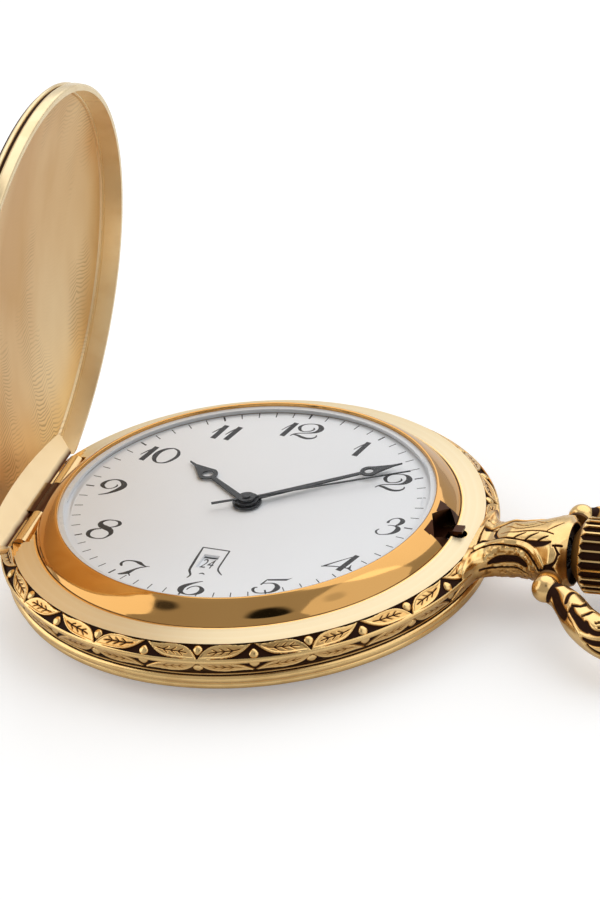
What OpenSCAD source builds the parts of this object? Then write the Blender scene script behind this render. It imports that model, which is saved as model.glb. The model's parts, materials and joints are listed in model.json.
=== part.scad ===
// Quartz pocket watch with a hunter case, lid open.
// Origin: centre of the flat back, on the table. +X to the crown, +Y to the top of the dial, +Z up.

/* [Case] */
// Radius of the case at the ridge of its garland band
case_r = 23.9; // [23.7:0.1:25]
// Height of the case lip above the table
lip_z = 6.3; // [6.2:0.1:7.5]
// Width of the sloping garland band, seen from above
band_w = 1.27; // [1.1:0.01:1.4]
// Fall of the garland band from the lip to the ridge
band_fall = 1.25; // [1.1:0.01:1.3]
// Width of the flat lip between the garland band and the bezel
lip_w = 2.36; // [2.3:0.01:2.45]
// Height of the seam between case and back cover
seam_z = 1.4; // [1.35:0.01:1.5]
// Radius of the two beads round the foot of the case
bead = 0.46; // [0.4:0.01:0.48]
// Distance of the lower bead's circle inside the ridge
bead_in = 1.35; // [1.3:0.05:1.5]
// Thickness of the back cover's floor
back_t = 0.75; // [0.6:0.05:0.85]
// Radius of the flat on which the watch lies
flat_r = 13; // [10:0.5:15]

/* [Bezel and glass] */
// Width of the polished bezel from its foot to its crest
bezel_w = 2.09; // [1.95:0.01:2.12]
// Step from the bezel's crest out to the bore that holds the movement ring
bore_step = 0.32; // [0.3:0.01:0.4]
// Height of the crest above the lip
crest_h = 2.25; // [2.15:0.05:2.6]
// Thickness of the gasket round the glass
gasket_t = 0.55; // [0.4:0.05:0.6]
// Height of the gasket round the glass
gasket_h = 0.65; // [0.5:0.05:0.8]
// Thickness of the glass
glass_t = 0.8; // [0.6:0.05:0.9]
// Rise of the glass above the crest
glass_rise = 1.55; // [1.45:0.05:1.7]

/* [Lid] */
// Step of the lid's side inside the lip's edge
lid_step = 0.03; // [-0.2:0.01:0.05]
// Thickness of the lid's wall
lid_t = 0.65; // [0.5:0.05:0.7]
// Height of the lid's rim, with its bead
lid_rim_h = 2.1; // [1.9:0.1:2.4]
// Rise of the lid's dome above its rim
lid_rise = 3.2; // [2.9:0.1:4]
// Angle by which the lid stands open
lid_open = 82.6; // [70:0.1:90]
// Distance of the hinge axis outside the bezel's foot
hinge_out = 0.13; // [0.08:0.01:0.2]
// Depth of the hinge axis below the lip
hinge_drop = 0.45; // [0.4:0.01:0.5]
// Radius of the hinge knuckles
knuckle_r = 0.85; // [0.7:0.05:0.88]
// Radius of the hinge pin
pin_r = 0.4; // [0.3:0.02:0.45]
// Length of the hinge along its pin
hinge_len = 16; // [14:0.5:16.2]

/* [Pendant, bow and crown] */
// Depth of the crown's axis below the lip
stem_drop = 0.9; // [0.88:0.01:0.95]
// Length of the pendant from the ridge of the case to its end
pendant_len = 8.2; // [8.1:0.1:9]
// Radius of the pendant's neck
neck_r = 2.42; // [2.2:0.02:2.6]
// Radius of the pendant at its end
collar_r = 3.04; // [2.9:0.02:3.3]
// Half width of the pendant's root on the case
root_w = 5.6; // [4.6:0.1:6]
// Radius of the bow's ball ends
ball_r = 1.3; // [1.1:0.05:1.45]
// Length of the bow from its studs to its middle
bow_len = 16.6; // [16:0.1:18]
// Half width of the bow at its widest
bow_half = 12; // [11.5:0.1:13]
// Distance of the ball ends from the middle of the pendant
ball_y = 6.5; // [6.3:0.1:7]
// Radius of the studs on which the bow swings
stud_r = 0.42; // [0.3:0.02:0.46]
// Radius of the crown
crown_r = 3.6; // [3.4:0.05:4]
// Length of the crown's fluted grip
grip_len = 3.6; // [3:0.1:4.5]
// Flutes round the crown
flutes = 24; // [16:1:32]
// Travel of the crown when it is pressed
push = 0.7; // [0.5:0.05:0.75]
// Travel of the stem when it is pulled out to set the hands
pull = 1; // [0.7:0.1:1.1]

/* [Dial and hands] */
// Step from the bore in to the edge of the dial
dial_in = 0.9; // [0.87:0.01:1]
// Thickness of the dial
dial_t = 0.3; // [0.25:0.05:0.4]
// Turn of the dial from the crown's axis, as it sits in the case
dial_turn = -4; // [-6:0.5:2]
// Distance of the date opening from the centre of the dial
date_r = 10.6; // [10.4:0.05:10.7]
// Direction of the hour hand
hour_dir = 140.2; // [0:0.1:360]
// Direction of the minute hand
minute_dir = 35; // [0:0.1:360]
// Direction of the seconds hand
seconds_dir = 27.4; // [0:0.1:360]
// Length of the hour hand
hour_len = 10.3; // [9:0.1:11]
// Distance of the minute hand's point from the edge of the dial
minute_in = 2; // [1.5:0.1:3.5]
// Distance of the seconds hand's point from the edge of the dial
seconds_in = 1.7; // [1.5:0.1:3.5]

/* [Movement] */
// Radius of the movement
move_r = 12.8; // [12.7:0.05:13.4]
// Thickness of the main plate
plate_t = 1.9; // [1.85:0.01:1.95]
// Thickness of the train bridge
bridge_t = 0.6; // [0.4:0.05:0.65]
// Tooth module of the wheels between rotor and centre
train_m = 0.1; // [0.095:0.001:0.102]
// Radius of the button battery
cell_r = 3.4; // [3:0.1:3.5]
// Height of the button battery
cell_h = 2.6; // [2.2:0.1:2.65]
// Radius of the stem
stem_r = 0.45; // [0.4:0.01:0.46]

/* [Hidden] */
$fn = 64;

gold = "#c8a058";
pale_gold = "#dcc08a";
dark_gold = "#8a6230";
steel = "#b9bcc0";
brass = "#c9a94f";
hand_grey = "#4b4d50";

// Clearance between faces that slide or turn on each other
run = 0.04;
// Gap between pieces that pass each other freely
free = 0.1;
// Overlap with which one cut passes another face
eps = 0.05;
full = 40;

// Case heights and radii
ridge_z = lip_z - band_fall;
lip_r = case_r - band_w;
bezel_r = lip_r - lip_w;
crest_r = bezel_r - bezel_w;
bore_r = crest_r + bore_step;
bead_run_r = case_r - bead_in;
seat_z = lip_z - 0.15;
skirt_z = lip_z - 1;
bezel_foot = 0.33;
crest_z = lip_z + crest_h;
axis_z = lip_z - stem_drop;
hinge_x = bezel_r + hinge_out;
hinge_z = lip_z - hinge_drop;
chord_x = hinge_x - knuckle_r - 0.15;
slot_z = hinge_z - knuckle_r - free;
third_len = hinge_len / 3;
ring_bottom = seam_z + 0.95;
gasket_r = bore_r + 0.65;
gasket_w = 0.7;

// Dial and glass stack
dial_r = bore_r - dial_in;
dial_top = lip_z + 1.4;
dial_z = dial_top - dial_t;
glass_z = dial_top + free;
glass_seat_r = crest_r - 0.13;
glass_r = glass_seat_r - gasket_t;
glass_edge = 1;
glass_top = crest_z + glass_rise;

// Movement heights
plate_z = lip_z + 0.2 - plate_t;
plate_top = plate_z + plate_t;
bridge_z = plate_z - 1.5 - bridge_t;
post_z = bridge_z + bridge_t;
board_t = 0.4;
board_z = post_z - 0.2 - board_t;
cell_z = plate_z + 0.2 - cell_h;
strap_t = 0.2;
wall_r = move_r - 0.7;

// Lid in its closed place
lid_r = lip_r - lid_step;
lid_z = lip_z + 0.2;
lid_top = lid_z + lid_rim_h;
lid_cut = hinge_x - 0.3;
leaf_gap = 0.3;
leaf_lean = 0.85;

// Catch: its place along X and the lip of the lid that it holds
catch_lip = 0.85;
lip_t = 0.3;
nose_z = lid_z + lip_t + eps;
nose_t = 0.25;
catch_x = lid_r - lid_t - catch_lip - 1.1;
catch_len = 1.9;
spring_r = catch_x - push - 0.35;
spring_t = 0.3;

// Pendant and crown stations along X
pendant_end = case_r + pendant_len;
stud_x = pendant_end - 1.05;
bowl = 0.55;
crown_x = pendant_end + push - bowl + free - 0.05;
grip_x = crown_x + 1.1;
crown_end = grip_x + grip_len;
sleeve_r = 0.8;
sleeve_bore = stem_r + run;
sleeve_x = case_r - 0.5;
collar_x = grip_x - 0.4;
cavity_end = collar_x + 2.2;
square = 0.6;

// Stem stations inside the movement
pinion_x = 6.9;
pinion_len = 2;
pinion_r = 0.85;
groove_x = 10.1;
groove_w = 0.5;
lever_arm = 2;
lever_y = 2.5;
peg_r = 0.18;
lever_swing = 2 * asin(pull / 2 / lever_arm);
lever_at = [groove_x + groove_w / 2 + pull / 2, lever_y];

// Wheel centres, each as far apart as its teeth ask
third_at = polar(200, train_m * (8 + 60) / 2);
mid_at = polar(60, train_m * (10 + 60) / 2);
rotor_m = train_m * 0.8;
rotor_at = mid_at + polar(95, rotor_m * (12 + 60) / 2);
third_m = norm(third_at) * 2 / (8 + 64);
motion_m = 0.12;
minute_at = polar(-60, motion_m * (10 + 30) / 2);
date_at = polar(130, motion_m * (32 + 64) / 2);
// Turn of the date wheel that puts a gap of its teeth on the hour wheel's nearest tooth
hour_lead = 360 / 32 - (130 + 60) % (360 / 32);
date_phase = 130 + 180 - hour_lead / 2 + 180 / 64;
cell_at = [5.9, -6];
arbor = 0.12;
pivot = 0.1;
pivot_hole = pivot + run;
tube_r = 0.45;
pipe_bore = tube_r + run;
pipe_r = 0.75;

// Movement screw places
bridge_posts = [[5, -0.6], [-1, -5.2], [-3.6, 3.9]];
board_posts = [[-7.6, 8], [-8.2, -6.2]];
keeper_posts = [[5.5, 4.5], [-3.5, -6.2], [3.5, -6.8]];
strap_posts = [[0.9, -7.4], [9.9, -1.9]];
jumper_at = [-6.3, -3.4];
coil_y = 9.3;
coil_posts = [[-5, coil_y], [5, coil_y]];
post_r = 0.75;
screw_r = 0.35;
head_r = 0.65;
clamp_dirs = [120, 300];
clamp_r = move_r + 1.6;
foot_dirs = [35, 215];

// Date ring
date_in = 9.25;
date_out = wall_r - 0.05;
date_tooth = 0.45;
date_t = 0.25;
date_z = plate_top + free;
finger_len = 3.3;
keeper_r = date_in + 0.2;
keeper_t = 0.1;
keeper_z = date_z + date_t + 0.05;
keeper_head = 0.08;

// Heights of the hands
hand_t = 0.12;
minute_len = dial_r - minute_in;
seconds_len = dial_r - seconds_in;
boss_t = 0.2;
hour_z = dial_top + 0.2;
minute_z = hour_z + boss_t + 0.08;
seconds_z = minute_z + boss_t + 0.06;
glass_in_z = seconds_z + 0.08;

// Bow route, as distance from its pivot and half width, with the radius there
bow_mid_r = 2;
bow_route = [[0, ball_y, 0.8], [1.5, ball_y + 0.6, 0.95], [2.8, ball_y + 1.7, 1.3], [4.8, bow_half - 1.5, 1.7],
             [bow_len - 9, bow_half, 1.85], [bow_len - 5.9, bow_half - 0.4, 1.8], [bow_len - 3, bow_half - 2.8, 1.75],
             [bow_len - 0.9, bow_half * 0.383, 1.85], [bow_len, 0, bow_mid_r]];
bow_tilt = asin((axis_z - bow_mid_r - 0.03) / bow_len);

function polar(a, r) = [r * cos(a), r * sin(a)];
function arc(cx, cy, r, a0, a1, n = 10) =
    [for (i = [0:n]) let (a = a0 + (a1 - a0) * i / n) [cx + r * cos(a), cy + r * sin(a)]];
function cap_r(r, rise) = (r * r + rise * rise) / (2 * rise);
function cap_z(x, r, rise) = sqrt(cap_r(r, rise) * cap_r(r, rise) - x * x) - cap_r(r, rise) + rise;
function cap_line(r, rise, z, n = 16) = [for (i = [0:n]) let (x = r * (1 - i / n)) [x, z + cap_z(x, r, rise)]];
function reversed(v) = [for (i = [len(v) - 1:-1:0]) v[i]];

// A gear outline with straight-sided teeth and roomy backlash
module gear(teeth, m, slack = 0.74) {
    rp = teeth * m / 2;
    half = 90 / teeth;
    polygon([for (i = [0:teeth - 1], k = [0:3])
        let (a = 360 * i / teeth + [-1.12, -0.42, 0.42, 1.12][k] * half * slack,
             r = (k == 1 || k == 2) ? rp + 0.85 * m : rp - 1.15 * m) polar(a, r)]);
}

module wheel(at, z, t, teeth, m, turn = 0, bore = 0) {
    translate([at[0], at[1], z]) linear_extrude(t) difference() {
        rotate(turn) gear(teeth, m);
        if (bore > 0) circle(bore);
    }
}

module post(at, z0, z1, r) translate([at[0], at[1], z0]) cylinder(h = z1 - z0, r = r);

module along_x(x0, x1, r, z = axis_z) translate([x0, 0, z]) rotate([0, 90, 0]) cylinder(h = x1 - x0, r = r);

module ring(r0, r1, z0, z1) translate([0, 0, z0]) difference() {
    cylinder(h = z1 - z0, r = r1);
    translate([0, 0, -eps]) cylinder(h = z1 - z0 + 2 * eps, r = r0);
}

// Outline of the case from its bottom seam up to the lip's inner edge
function band_side() = concat(
    [[bead_run_r - 0.45, seam_z]],
    arc(bead_run_r, seam_z + 0.55, bead, -110, 40),
    [[bead_run_r + 0.23, seam_z + 0.94]],
    arc(bead_run_r + 0.38, seam_z + 1.38, bead, -85, 80),
    [[bead_run_r + 0.4, seam_z + 2.02], [bead_run_r + 0.93, seam_z + 2.32]],
    arc(case_r - 0.35, ridge_z, 0.35, -35, 50, 6),
    [[lip_r, lip_z], [bezel_r + 0.03, lip_z + bezel_foot]]);

module band_filled() rotate_extrude($fn = 128)
    polygon(concat([[0, seam_z]], band_side(), [[0, lip_z + bezel_foot]]));

// Case middle: bore for the movement, seat for the bezel, hinge seat, catch pocket and stem bore
module case_band() color(gold) difference() {
    rotate_extrude($fn = 128) polygon(concat(
        [[bore_r, seam_z]], band_side(), [[bezel_r + 0.03, seat_z], [bore_r, seat_z]]));
    // flat seats for the hinge and for the edge of the open lid
    translate([-full - chord_x, -hinge_len / 2 - free, slot_z]) cube([full, hinge_len + 2 * free, full]);
    translate([-full - lid_cut, -full / 2, lip_z - 0.1]) cube([full, full, full]);
    // groove for the back gasket
    ring(gasket_r, gasket_r + gasket_w, seam_z - eps, seam_z + 0.35);
    // undercut for the catch spring and the lift spring
    for (a = [0, 176]) translate([0, 0, axis_z - 0.6]) rotate([0, 0, a]) rotate_extrude(angle = 46)
        translate([bore_r - eps, 0]) square([spring_r + spring_t + eps - bore_r + eps, 1.1]);
    translate([-hinge_x, -1.1, axis_z - 0.35]) cube([hinge_x - bore_r + 0.6, 2.2, 0.7]);
    // pocket for the catch, its nose slot in the lip, its way through the wall and the bores for stem and sleeve
    translate([bore_r - eps, -1.45, axis_z - 0.55]) cube([catch_x + catch_len - bore_r + 2 * eps, 2.9, 1]);
    translate([catch_x - 0.4, -0.75, axis_z]) cube([1.35, 1.5, 2]);
    translate([catch_x + 0.95, 0, axis_z]) cylinder(h = 2, r = 0.75);
    translate([catch_x + 1, -1.3, axis_z - 0.45]) cube([full, 2.6, 0.9]);
    along_x(bore_r - 1, case_r + 1, stem_r + 0.1);
    along_x(sleeve_x - push - eps, case_r + 1, sleeve_r + 2 * run);
}

module front_bezel() color("#d4a860") difference() {
    rotate_extrude($fn = 128) polygon([
        [bore_r - 0.75, skirt_z], [bore_r - 0.05, skirt_z], [bore_r - 0.05, seat_z], [bezel_r, seat_z],
        [bezel_r, lip_z + bezel_foot], [crest_r + 0.12, crest_z - 0.02], [crest_r, crest_z],
        [glass_seat_r, crest_z - 0.1], [glass_seat_r, glass_z], [bore_r - 0.75, glass_z]]);
    translate([bore_r - 2, -2, skirt_z - eps]) cube([full, 4, seat_z - skirt_z + eps]);
    translate([-full - chord_x, -full / 2, 0]) cube([full, full, full]);
    // diamond opening over the catch
    translate([catch_x - 0.65, 0, seat_z - 1]) linear_extrude(4)
        polygon([[-0.95, 0], [0, -2.7], [1.2, -0.8], [1.2, 0.8], [0, 2.7]]);
}

module crystal_gasket() color("#e6e8ea") ring(glass_r, glass_seat_r, glass_z, glass_z + gasket_h);

module crystal() color("#dfe8f0", 0.4) rotate_extrude($fn = 128) polygon(concat(
    [[glass_r - 0.6, glass_z], [glass_r, glass_z]],
    cap_line(glass_r, glass_top - glass_z - glass_edge, glass_z + glass_edge),
    reversed(cap_line(glass_r - 0.6, glass_top - glass_t - glass_in_z, glass_in_z))));

module back_cover() color(gold) rotate_extrude($fn = 128) polygon(concat(
    [[0, 0], [flat_r, 0], [bead_run_r - 6, 0.05], [bead_run_r - 3.4, 0.2], [bead_run_r - 2.2, 0.4],
     [bead_run_r - 1.4, 0.68], [bead_run_r - 0.8, 1.05], [bead_run_r - 0.5, seam_z - 0.03],
     [bore_r - 0.05, seam_z - 0.03], [bore_r - 0.05, ring_bottom - 0.05], [bore_r - 0.65, ring_bottom - 0.05],
     [bore_r - 0.65, back_t + 0.25], [bore_r - 1.2, back_t], [0, back_t]]));

module back_gasket() color("#303236")
    ring(gasket_r + eps, gasket_r + gasket_w - eps, seam_z - 0.03, seam_z + 0.3);

// Hinge: two knuckles on the case, the middle one on the lid
module knuckle(y0, y1, bore) translate([-hinge_x, y1, hinge_z]) rotate([90, 0, 0]) difference() {
    cylinder(h = y1 - y0, r = knuckle_r);
    translate([0, 0, -eps]) cylinder(h = y1 - y0 + 2 * eps, r = bore);
}

module case_hinge() color(pale_gold) for (s = [-1, 1]) {
    y0 = s > 0 ? third_len / 2 + run : -hinge_len / 2;
    y1 = s > 0 ? hinge_len / 2 : -third_len / 2 - run;
    knuckle(y0, y1, pin_r);
    difference() {
        translate([-hinge_x - knuckle_r, y0, slot_z]) cube([2 * knuckle_r, y1 - y0, knuckle_r + free]);
        translate([-hinge_x, y1 + eps, hinge_z]) rotate([90, 0, 0]) cylinder(h = y1 - y0 + 2 * eps, r = knuckle_r - eps);
    }
}

module hinge_pin() color(steel) translate([-hinge_x, hinge_len / 2, hinge_z]) rotate([90, 0, 0])
    cylinder(h = hinge_len, r = pin_r);

// Moves the closed lid to its open place
module lid_place() translate([-hinge_x, 0, hinge_z]) rotate([0, -lid_open, 0]) translate([hinge_x, 0, -hinge_z])
    children();

module lid_chord() translate([-full - lid_cut, -full, 0]) cube([full, 2 * full, full]);

// Rim of the lid, with a small lip at the crown's side for the catch
module lid_rim() color(gold) lid_place() difference() {
    union() {
        intersection() {
            ring(lid_r - lid_t - catch_lip, lid_r - lid_t + 0.1, lid_z + 0.1, lid_z + lip_t);
            translate([lid_r / 2, -1.6, 0]) cube([lid_r, 3.2, full]);
        }
        rotate_extrude($fn = 128) polygon(concat(
            [[lid_r - lid_t, lid_z], [lid_r - 0.1, lid_z], [lid_r, lid_z + 0.1], [lid_r, lid_z + lid_rim_h - 0.7],
             [lid_r - 0.25, lid_z + lid_rim_h - 0.55]],
            arc(lid_r - 0.32, lid_top - 0.22, 0.22, -60, 90, 6),
            [[lid_r - lid_t, lid_top]]));
    }
    lid_chord();
}

module lid_dome() color(pale_gold) lid_place() difference() {
    rotate_extrude($fn = 128) polygon(concat(
        [[lid_r - lid_t, lid_top], [lid_r - 0.5, lid_top]],
        cap_line(lid_r - 0.5, lid_rise, lid_top),
        reversed(cap_line(lid_r - lid_t - 0.35, lid_rise - lid_t + 0.1, lid_top)),
        [[lid_r - lid_t - 0.15, lid_top - 0.35], [lid_r - lid_t, lid_top - 0.6]]));
    lid_chord();
}

module lid_inside() rotate_extrude($fn = 128) polygon(concat(
    [[0, lid_z], [lid_r - lid_t, lid_z], [lid_r - lid_t, lid_top - 0.6], [lid_r - lid_t - 0.15, lid_top - 0.35]],
    cap_line(lid_r - lid_t - 0.35, lid_rise - lid_t + 0.1, lid_top)));

// Hinge leaf: a sloping face inside the lid that clears the bezel, and the middle knuckle
module lid_hinge_leaf() color("#efd9a8") lid_place() {
    slope = (crest_h - bezel_foot) / (bezel_r - crest_r);
    foot_z = lid_z + leaf_gap;
    difference() {
        union() {
            intersection() {
                lid_inside();
                rotate([90, 0, 0]) linear_extrude(2 * full, center = true) polygon([
                    [-lid_cut, foot_z], [-lid_cut + 0.1, foot_z],
                    [-lid_cut + 4, foot_z + 4 * (slope + leaf_lean)], [-lid_cut, foot_z + 8]]);
            }
            translate([-lid_cut - 0.85, -third_len / 2, hinge_z]) cube([1.15, third_len, foot_z - hinge_z + 0.45]);
            translate([-hinge_x, third_len / 2, hinge_z]) rotate([90, 0, 0]) cylinder(h = third_len, r = knuckle_r);
        }
        translate([-hinge_x, full, hinge_z]) rotate([90, 0, 0]) cylinder(h = 2 * full, r = pin_r + run);
    }
}

// A flat spring in the case wall whose free end lies against the lid's knuckle
module lift_spring() color(steel) {
    translate([0, 0, axis_z - 0.55]) rotate([0, 0, 180]) rotate_extrude(angle = 40)
        translate([spring_r, 0]) square([spring_t, 1]);
    translate([-hinge_x + knuckle_r + free, -1, axis_z - 0.3])
        cube([hinge_x - knuckle_r - spring_r - spring_t / 2, 1, 0.6]);
}

// Pendant: round neck on a wide root, with a lug for each end of the bow
module pendant() color(gold) difference() {
    union() {
        translate([0, 0, axis_z]) rotate([0, 90, 0]) rotate_extrude() polygon([
            [0, lip_r - 0.2], [1, lip_r + 0.2], [2, case_r - 0.3], [neck_r - 0.05, case_r + 0.8],
            [neck_r, case_r + 2.2], [neck_r + 0.08, case_r + 3.5], [neck_r + 0.25, case_r + 4.7],
            [collar_r - 0.15, case_r + 6.1], [collar_r, pendant_end - 0.6], [collar_r, pendant_end],
            [0, pendant_end]]);
        translate([0, 0, axis_z - 1.7]) linear_extrude(2.7) polygon(concat(
            [[lip_r - 1, -root_w]], arc(case_r + 3.2, -root_w - 0.4, 3.4, 172, 92),
            reversed([for (p = arc(case_r + 3.2, -root_w - 0.4, 3.4, 172, 92)) [p[0], -p[1]]]),
            [[lip_r - 1, root_w]]));
        for (s = [-1, 1]) translate([stud_x, 0, axis_z]) rotate([-90 * s, 0, 0])
            cylinder(h = ball_y - ball_r - 0.25, r = ball_r - 0.05);
    }
    band_filled();
    translate([0, 0, lip_z - 0.3]) cylinder(h = 3, r = lip_r + 0.04);
    // bowl for the crown, bore for the tube, way for the catch prongs
    along_x(pendant_end, pendant_end + 1, crown_r + 0.1);
    along_x(pendant_end - bowl, pendant_end + 0.5, collar_r - 0.2);
    along_x(pendant_end - bowl - 0.75, pendant_end, 1.5);
    along_x(lip_r - 1, pendant_end - 0.3, 1.2);
    translate([lip_r - 1, -1.3, axis_z - 0.45]) cube([2.6, 2.6, 0.9]);
    for (s = [-1, 1]) translate([stud_x, s * (collar_r - 0.65), axis_z]) rotate([-90 * s, 0, 0])
        cylinder(h = ball_y, r = stud_r + run);
}

module pendant_tube() color(steel) difference() {
    along_x(case_r + 0.9, stud_x - stud_r - 0.2, 1.2);
    along_x(case_r, pendant_end, sleeve_r + run);
}

module stem_gasket() color("#303236") translate([pendant_end - bowl - 0.4, 0, axis_z]) rotate([0, 90, 0])
    rotate_extrude() translate([1.165, 0]) circle(0.32, $fn = 24);

// Bow: a swept tube that swells from its ball ends to its middle, with a stud at each end
function spline(p, t) = let (n = len(p) - 1, i = min(floor(t), n - 1), f = t - i,
    a = p[max(i - 1, 0)], b = p[i], c = p[i + 1], d = p[min(i + 2, n)])
    0.5 * ((2 * b) + (c - a) * f + (2 * a - 5 * b + 4 * c - d) * f * f + (3 * b - a - 3 * c + d) * f * f * f);

// A closed skin over rings of points that all have the same number of points
module skin(rings, sides) {
    last = len(rings) / sides - 1;
    polyhedron(rings, concat(
        [[for (k = [sides - 1:-1:0]) k]],
        [for (i = [0:last - 1], k = [0:sides - 1]) let (j = (k + 1) % sides)
            [i * sides + k, i * sides + j, (i + 1) * sides + j]],
        [for (i = [0:last - 1], k = [0:sides - 1]) let (j = (k + 1) % sides)
            [i * sides + k, (i + 1) * sides + j, (i + 1) * sides + k]],
        [[for (k = [0:sides - 1]) last * sides + k]]), convexity = 8);
}

module bow_tube() {
    steps = 3;
    sides = 12;
    last = len(bow_route) - 1;
    whole = concat(bow_route, [for (i = [last - 1:-1:0]) [bow_route[i][0], -bow_route[i][1], bow_route[i][2]]]);
    path = [for (i = [0:2 * last * steps]) spline(whole, i / steps)];
    count = len(path);
    skin([for (i = [0:count - 1])
        let (a = path[max(i - 1, 0)], b = path[min(i + 1, count - 1)], d = [b[0] - a[0], b[1] - a[1]],
             u = [d[1], -d[0]] / norm(d), q = path[i])
        for (k = [0:sides - 1]) let (w = 360 * k / sides)
            [q[0] + u[0] * q[2] * cos(w), q[1] + u[1] * q[2] * cos(w), q[2] * sin(w)]], sides);
}

// Stud, disc and ball at one end of the bow, along +Y
module bow_end() {
    sides = 24;
    inner = ball_y - ball_r - 0.1;
    profile = concat(
        [[collar_r - 0.6, stud_r - 0.04], [collar_r - 0.56, stud_r], [inner, stud_r], [inner, ball_r + 0.1],
         [inner + 0.45, ball_r + 0.1]],
        [for (a = [-42:12:78]) [ball_y + ball_r * sin(a), ball_r * cos(a)]],
        [[ball_y + ball_r, 0.05]]);
    skin([for (q = profile, k = [0:sides - 1]) let (w = 360 * k / sides)
        [q[1] * cos(w), q[0], q[1] * sin(w)]], sides);
}

module bow() color(gold) translate([stud_x, 0, axis_z]) rotate([0, bow_tilt, 0]) {
    bow_tube();
    bow_end();
    rotate([0, 0, 180]) bow_end();
}

// Crown: cone, fluted grip and domed end over a cavity for the return spring
module crown() color(gold) difference() {
    translate([0, 0, axis_z]) rotate([0, 90, 0]) rotate_extrude() polygon(concat(
        [[0, crown_x], [crown_r - 1.5, crown_x], [crown_r - 0.05, grip_x - 0.05], [crown_r, grip_x + 0.1],
         [crown_r, crown_end - 0.2]],
        [for (i = [0:8]) let (a = 90 * i / 8) [(crown_r - 0.25) * cos(a), crown_end + 0.75 * sin(a)]]));
    for (i = [0:flutes - 1]) rotate_x(360 * i / flutes) translate([grip_x - 0.35, 0, crown_r + 0.1])
        rotate([45, 0, 0]) translate([0, -0.3, -0.3]) cube([grip_len + 0.1, 0.6, 0.6]);
    along_x(crown_x - 1, cavity_end, 1.3);
    translate([crown_x, -square / 2 - run, axis_z - square / 2 - run])
        cube([cavity_end + 1.6 - crown_x, square + 2 * run, square + 2 * run]);
}

module rotate_x(a) translate([0, 0, axis_z]) rotate([a, 0, 0]) children();

module crown_sleeve() color(steel) difference() {
    union() {
        along_x(sleeve_x, crown_x + 0.1, sleeve_r);
        along_x(crown_x, collar_x - 0.05, 1.3);
    }
    along_x(sleeve_x - 1, collar_x, sleeve_bore);
}

// A coil spring round the stem, drawn as long as it is when the crown is pressed
module crown_spring() color(steel) {
    turns = 4;
    wire = 0.1;
    sides = 6;
    per = 14;
    x0 = collar_x + 0.3 + wire;
    x1 = cavity_end - push - 0.05 - wire;
    n = turns * per;
    translate([0, 0, axis_z]) skin([for (i = [0:n]) let (a = 360 * i / per)
        for (k = [0:sides - 1]) let (w = 360 * k / sides, r = 0.85 + wire * cos(w))
            [x0 + (x1 - x0) * i / n + wire * sin(w), r * cos(a), r * sin(a)]], sides);
}

module stem() color(steel) {
    difference() {
        along_x(groove_x - eps, collar_x + eps, stem_r);
        translate([groove_x - 1, 0, axis_z]) rotate([0, 90, 0]) difference() {
            cylinder(h = groove_w + 1, r = 1);
            translate([0, 0, -1]) cylinder(h = 4, r = 0.25);
        }
    }
    along_x(groove_x - 0.1, groove_x + groove_w, 0.25);
    along_x(pinion_x - 2.3, pinion_x - 1.2, 0.22);
    translate([pinion_x - 1.2, -square / 2, axis_z - square / 2]) cube([groove_x - pinion_x + 1.2, square, square]);
    along_x(collar_x, collar_x + 0.3, 1.1);
    along_x(collar_x + 0.3, cavity_end - push - 0.1, stem_r);
    translate([cavity_end - push - 0.1, -square / 2, axis_z - square / 2]) cube([1.6, square, square]);
}

module sliding_pinion() color(brass) difference() {
    translate([pinion_x, 0, axis_z]) rotate([0, 90, 0]) linear_extrude(pinion_len) gear(14, 2 * pinion_r / 15.7);
    translate([pinion_x - 1, -square / 2 - run, axis_z - square / 2 - run])
        cube([pinion_len + 2, square + 2 * run, square + 2 * run]);
}

// A lever under the main plate whose peg runs in the groove of the stem
module setting_lever() color(steel) {
    translate(lever_at) rotate(-lever_swing / 2) {
        translate([0, 0, plate_z - 0.4]) difference() {
            linear_extrude(0.3) union() {
                circle(0.7);
                translate([-0.3, -lever_arm]) square([0.6, lever_arm]);
                translate([0, -lever_arm]) circle(0.3);
            }
            translate([0, 0, -1]) cylinder(h = 3, r = screw_r + 0.03);
        }
        translate([0, -lever_arm, plate_z - 0.15]) cylinder(h = axis_z - plate_z + 0.45, r = peg_r);
    }
}

// Catch: a slide with a hole for the stem, prongs for the crown sleeve and a nose over the lid's lip
module lid_catch() color(dark_gold) difference() {
    union() {
        translate([catch_x, -1.4, axis_z - 0.5]) cube([catch_len, 2.8, 0.9]);
        for (s = [-1, 1]) translate([catch_x + catch_len - 0.1, s * 0.9 - 0.3, axis_z - 0.35])
            cube([sleeve_x - catch_x - catch_len + 0.05, 0.6, 0.7]);
        translate([catch_x + 0.5, -0.6, axis_z]) cube([0.5, 1.2, nose_z + nose_t - axis_z]);
        translate([catch_x + 0.5, -0.6, nose_z]) cube([0.9, 1.2, nose_t]);
    }
    along_x(catch_x - 2, sleeve_x + 2, stem_r + 0.1);
}

// A flat spring beside the stem, drawn as it lies when the catch is pressed
module catch_spring() color(steel) translate([0, 0, axis_z - 0.5]) rotate([0, 0, 2.5])
    rotate_extrude(angle = 42) translate([spring_r, 0]) square([spring_t, 0.9]);

module movement_ring() color("#d9dadb") difference() {
    union() {
        ring(move_r + 0.05, bore_r - 0.1, ring_bottom, skirt_z - 0.1);
        ring(move_r + 0.05, dial_r, ring_bottom, dial_z);
    }
    ring(move_r - 1, clamp_r + 1.6, ring_bottom - 1, plate_z - 1.7);
    along_x(move_r - 1, bore_r + 1, stem_r + 0.15);
    for (a = clamp_dirs) post(polar(a, clamp_r), 0, plate_z, screw_r);
}

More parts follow.
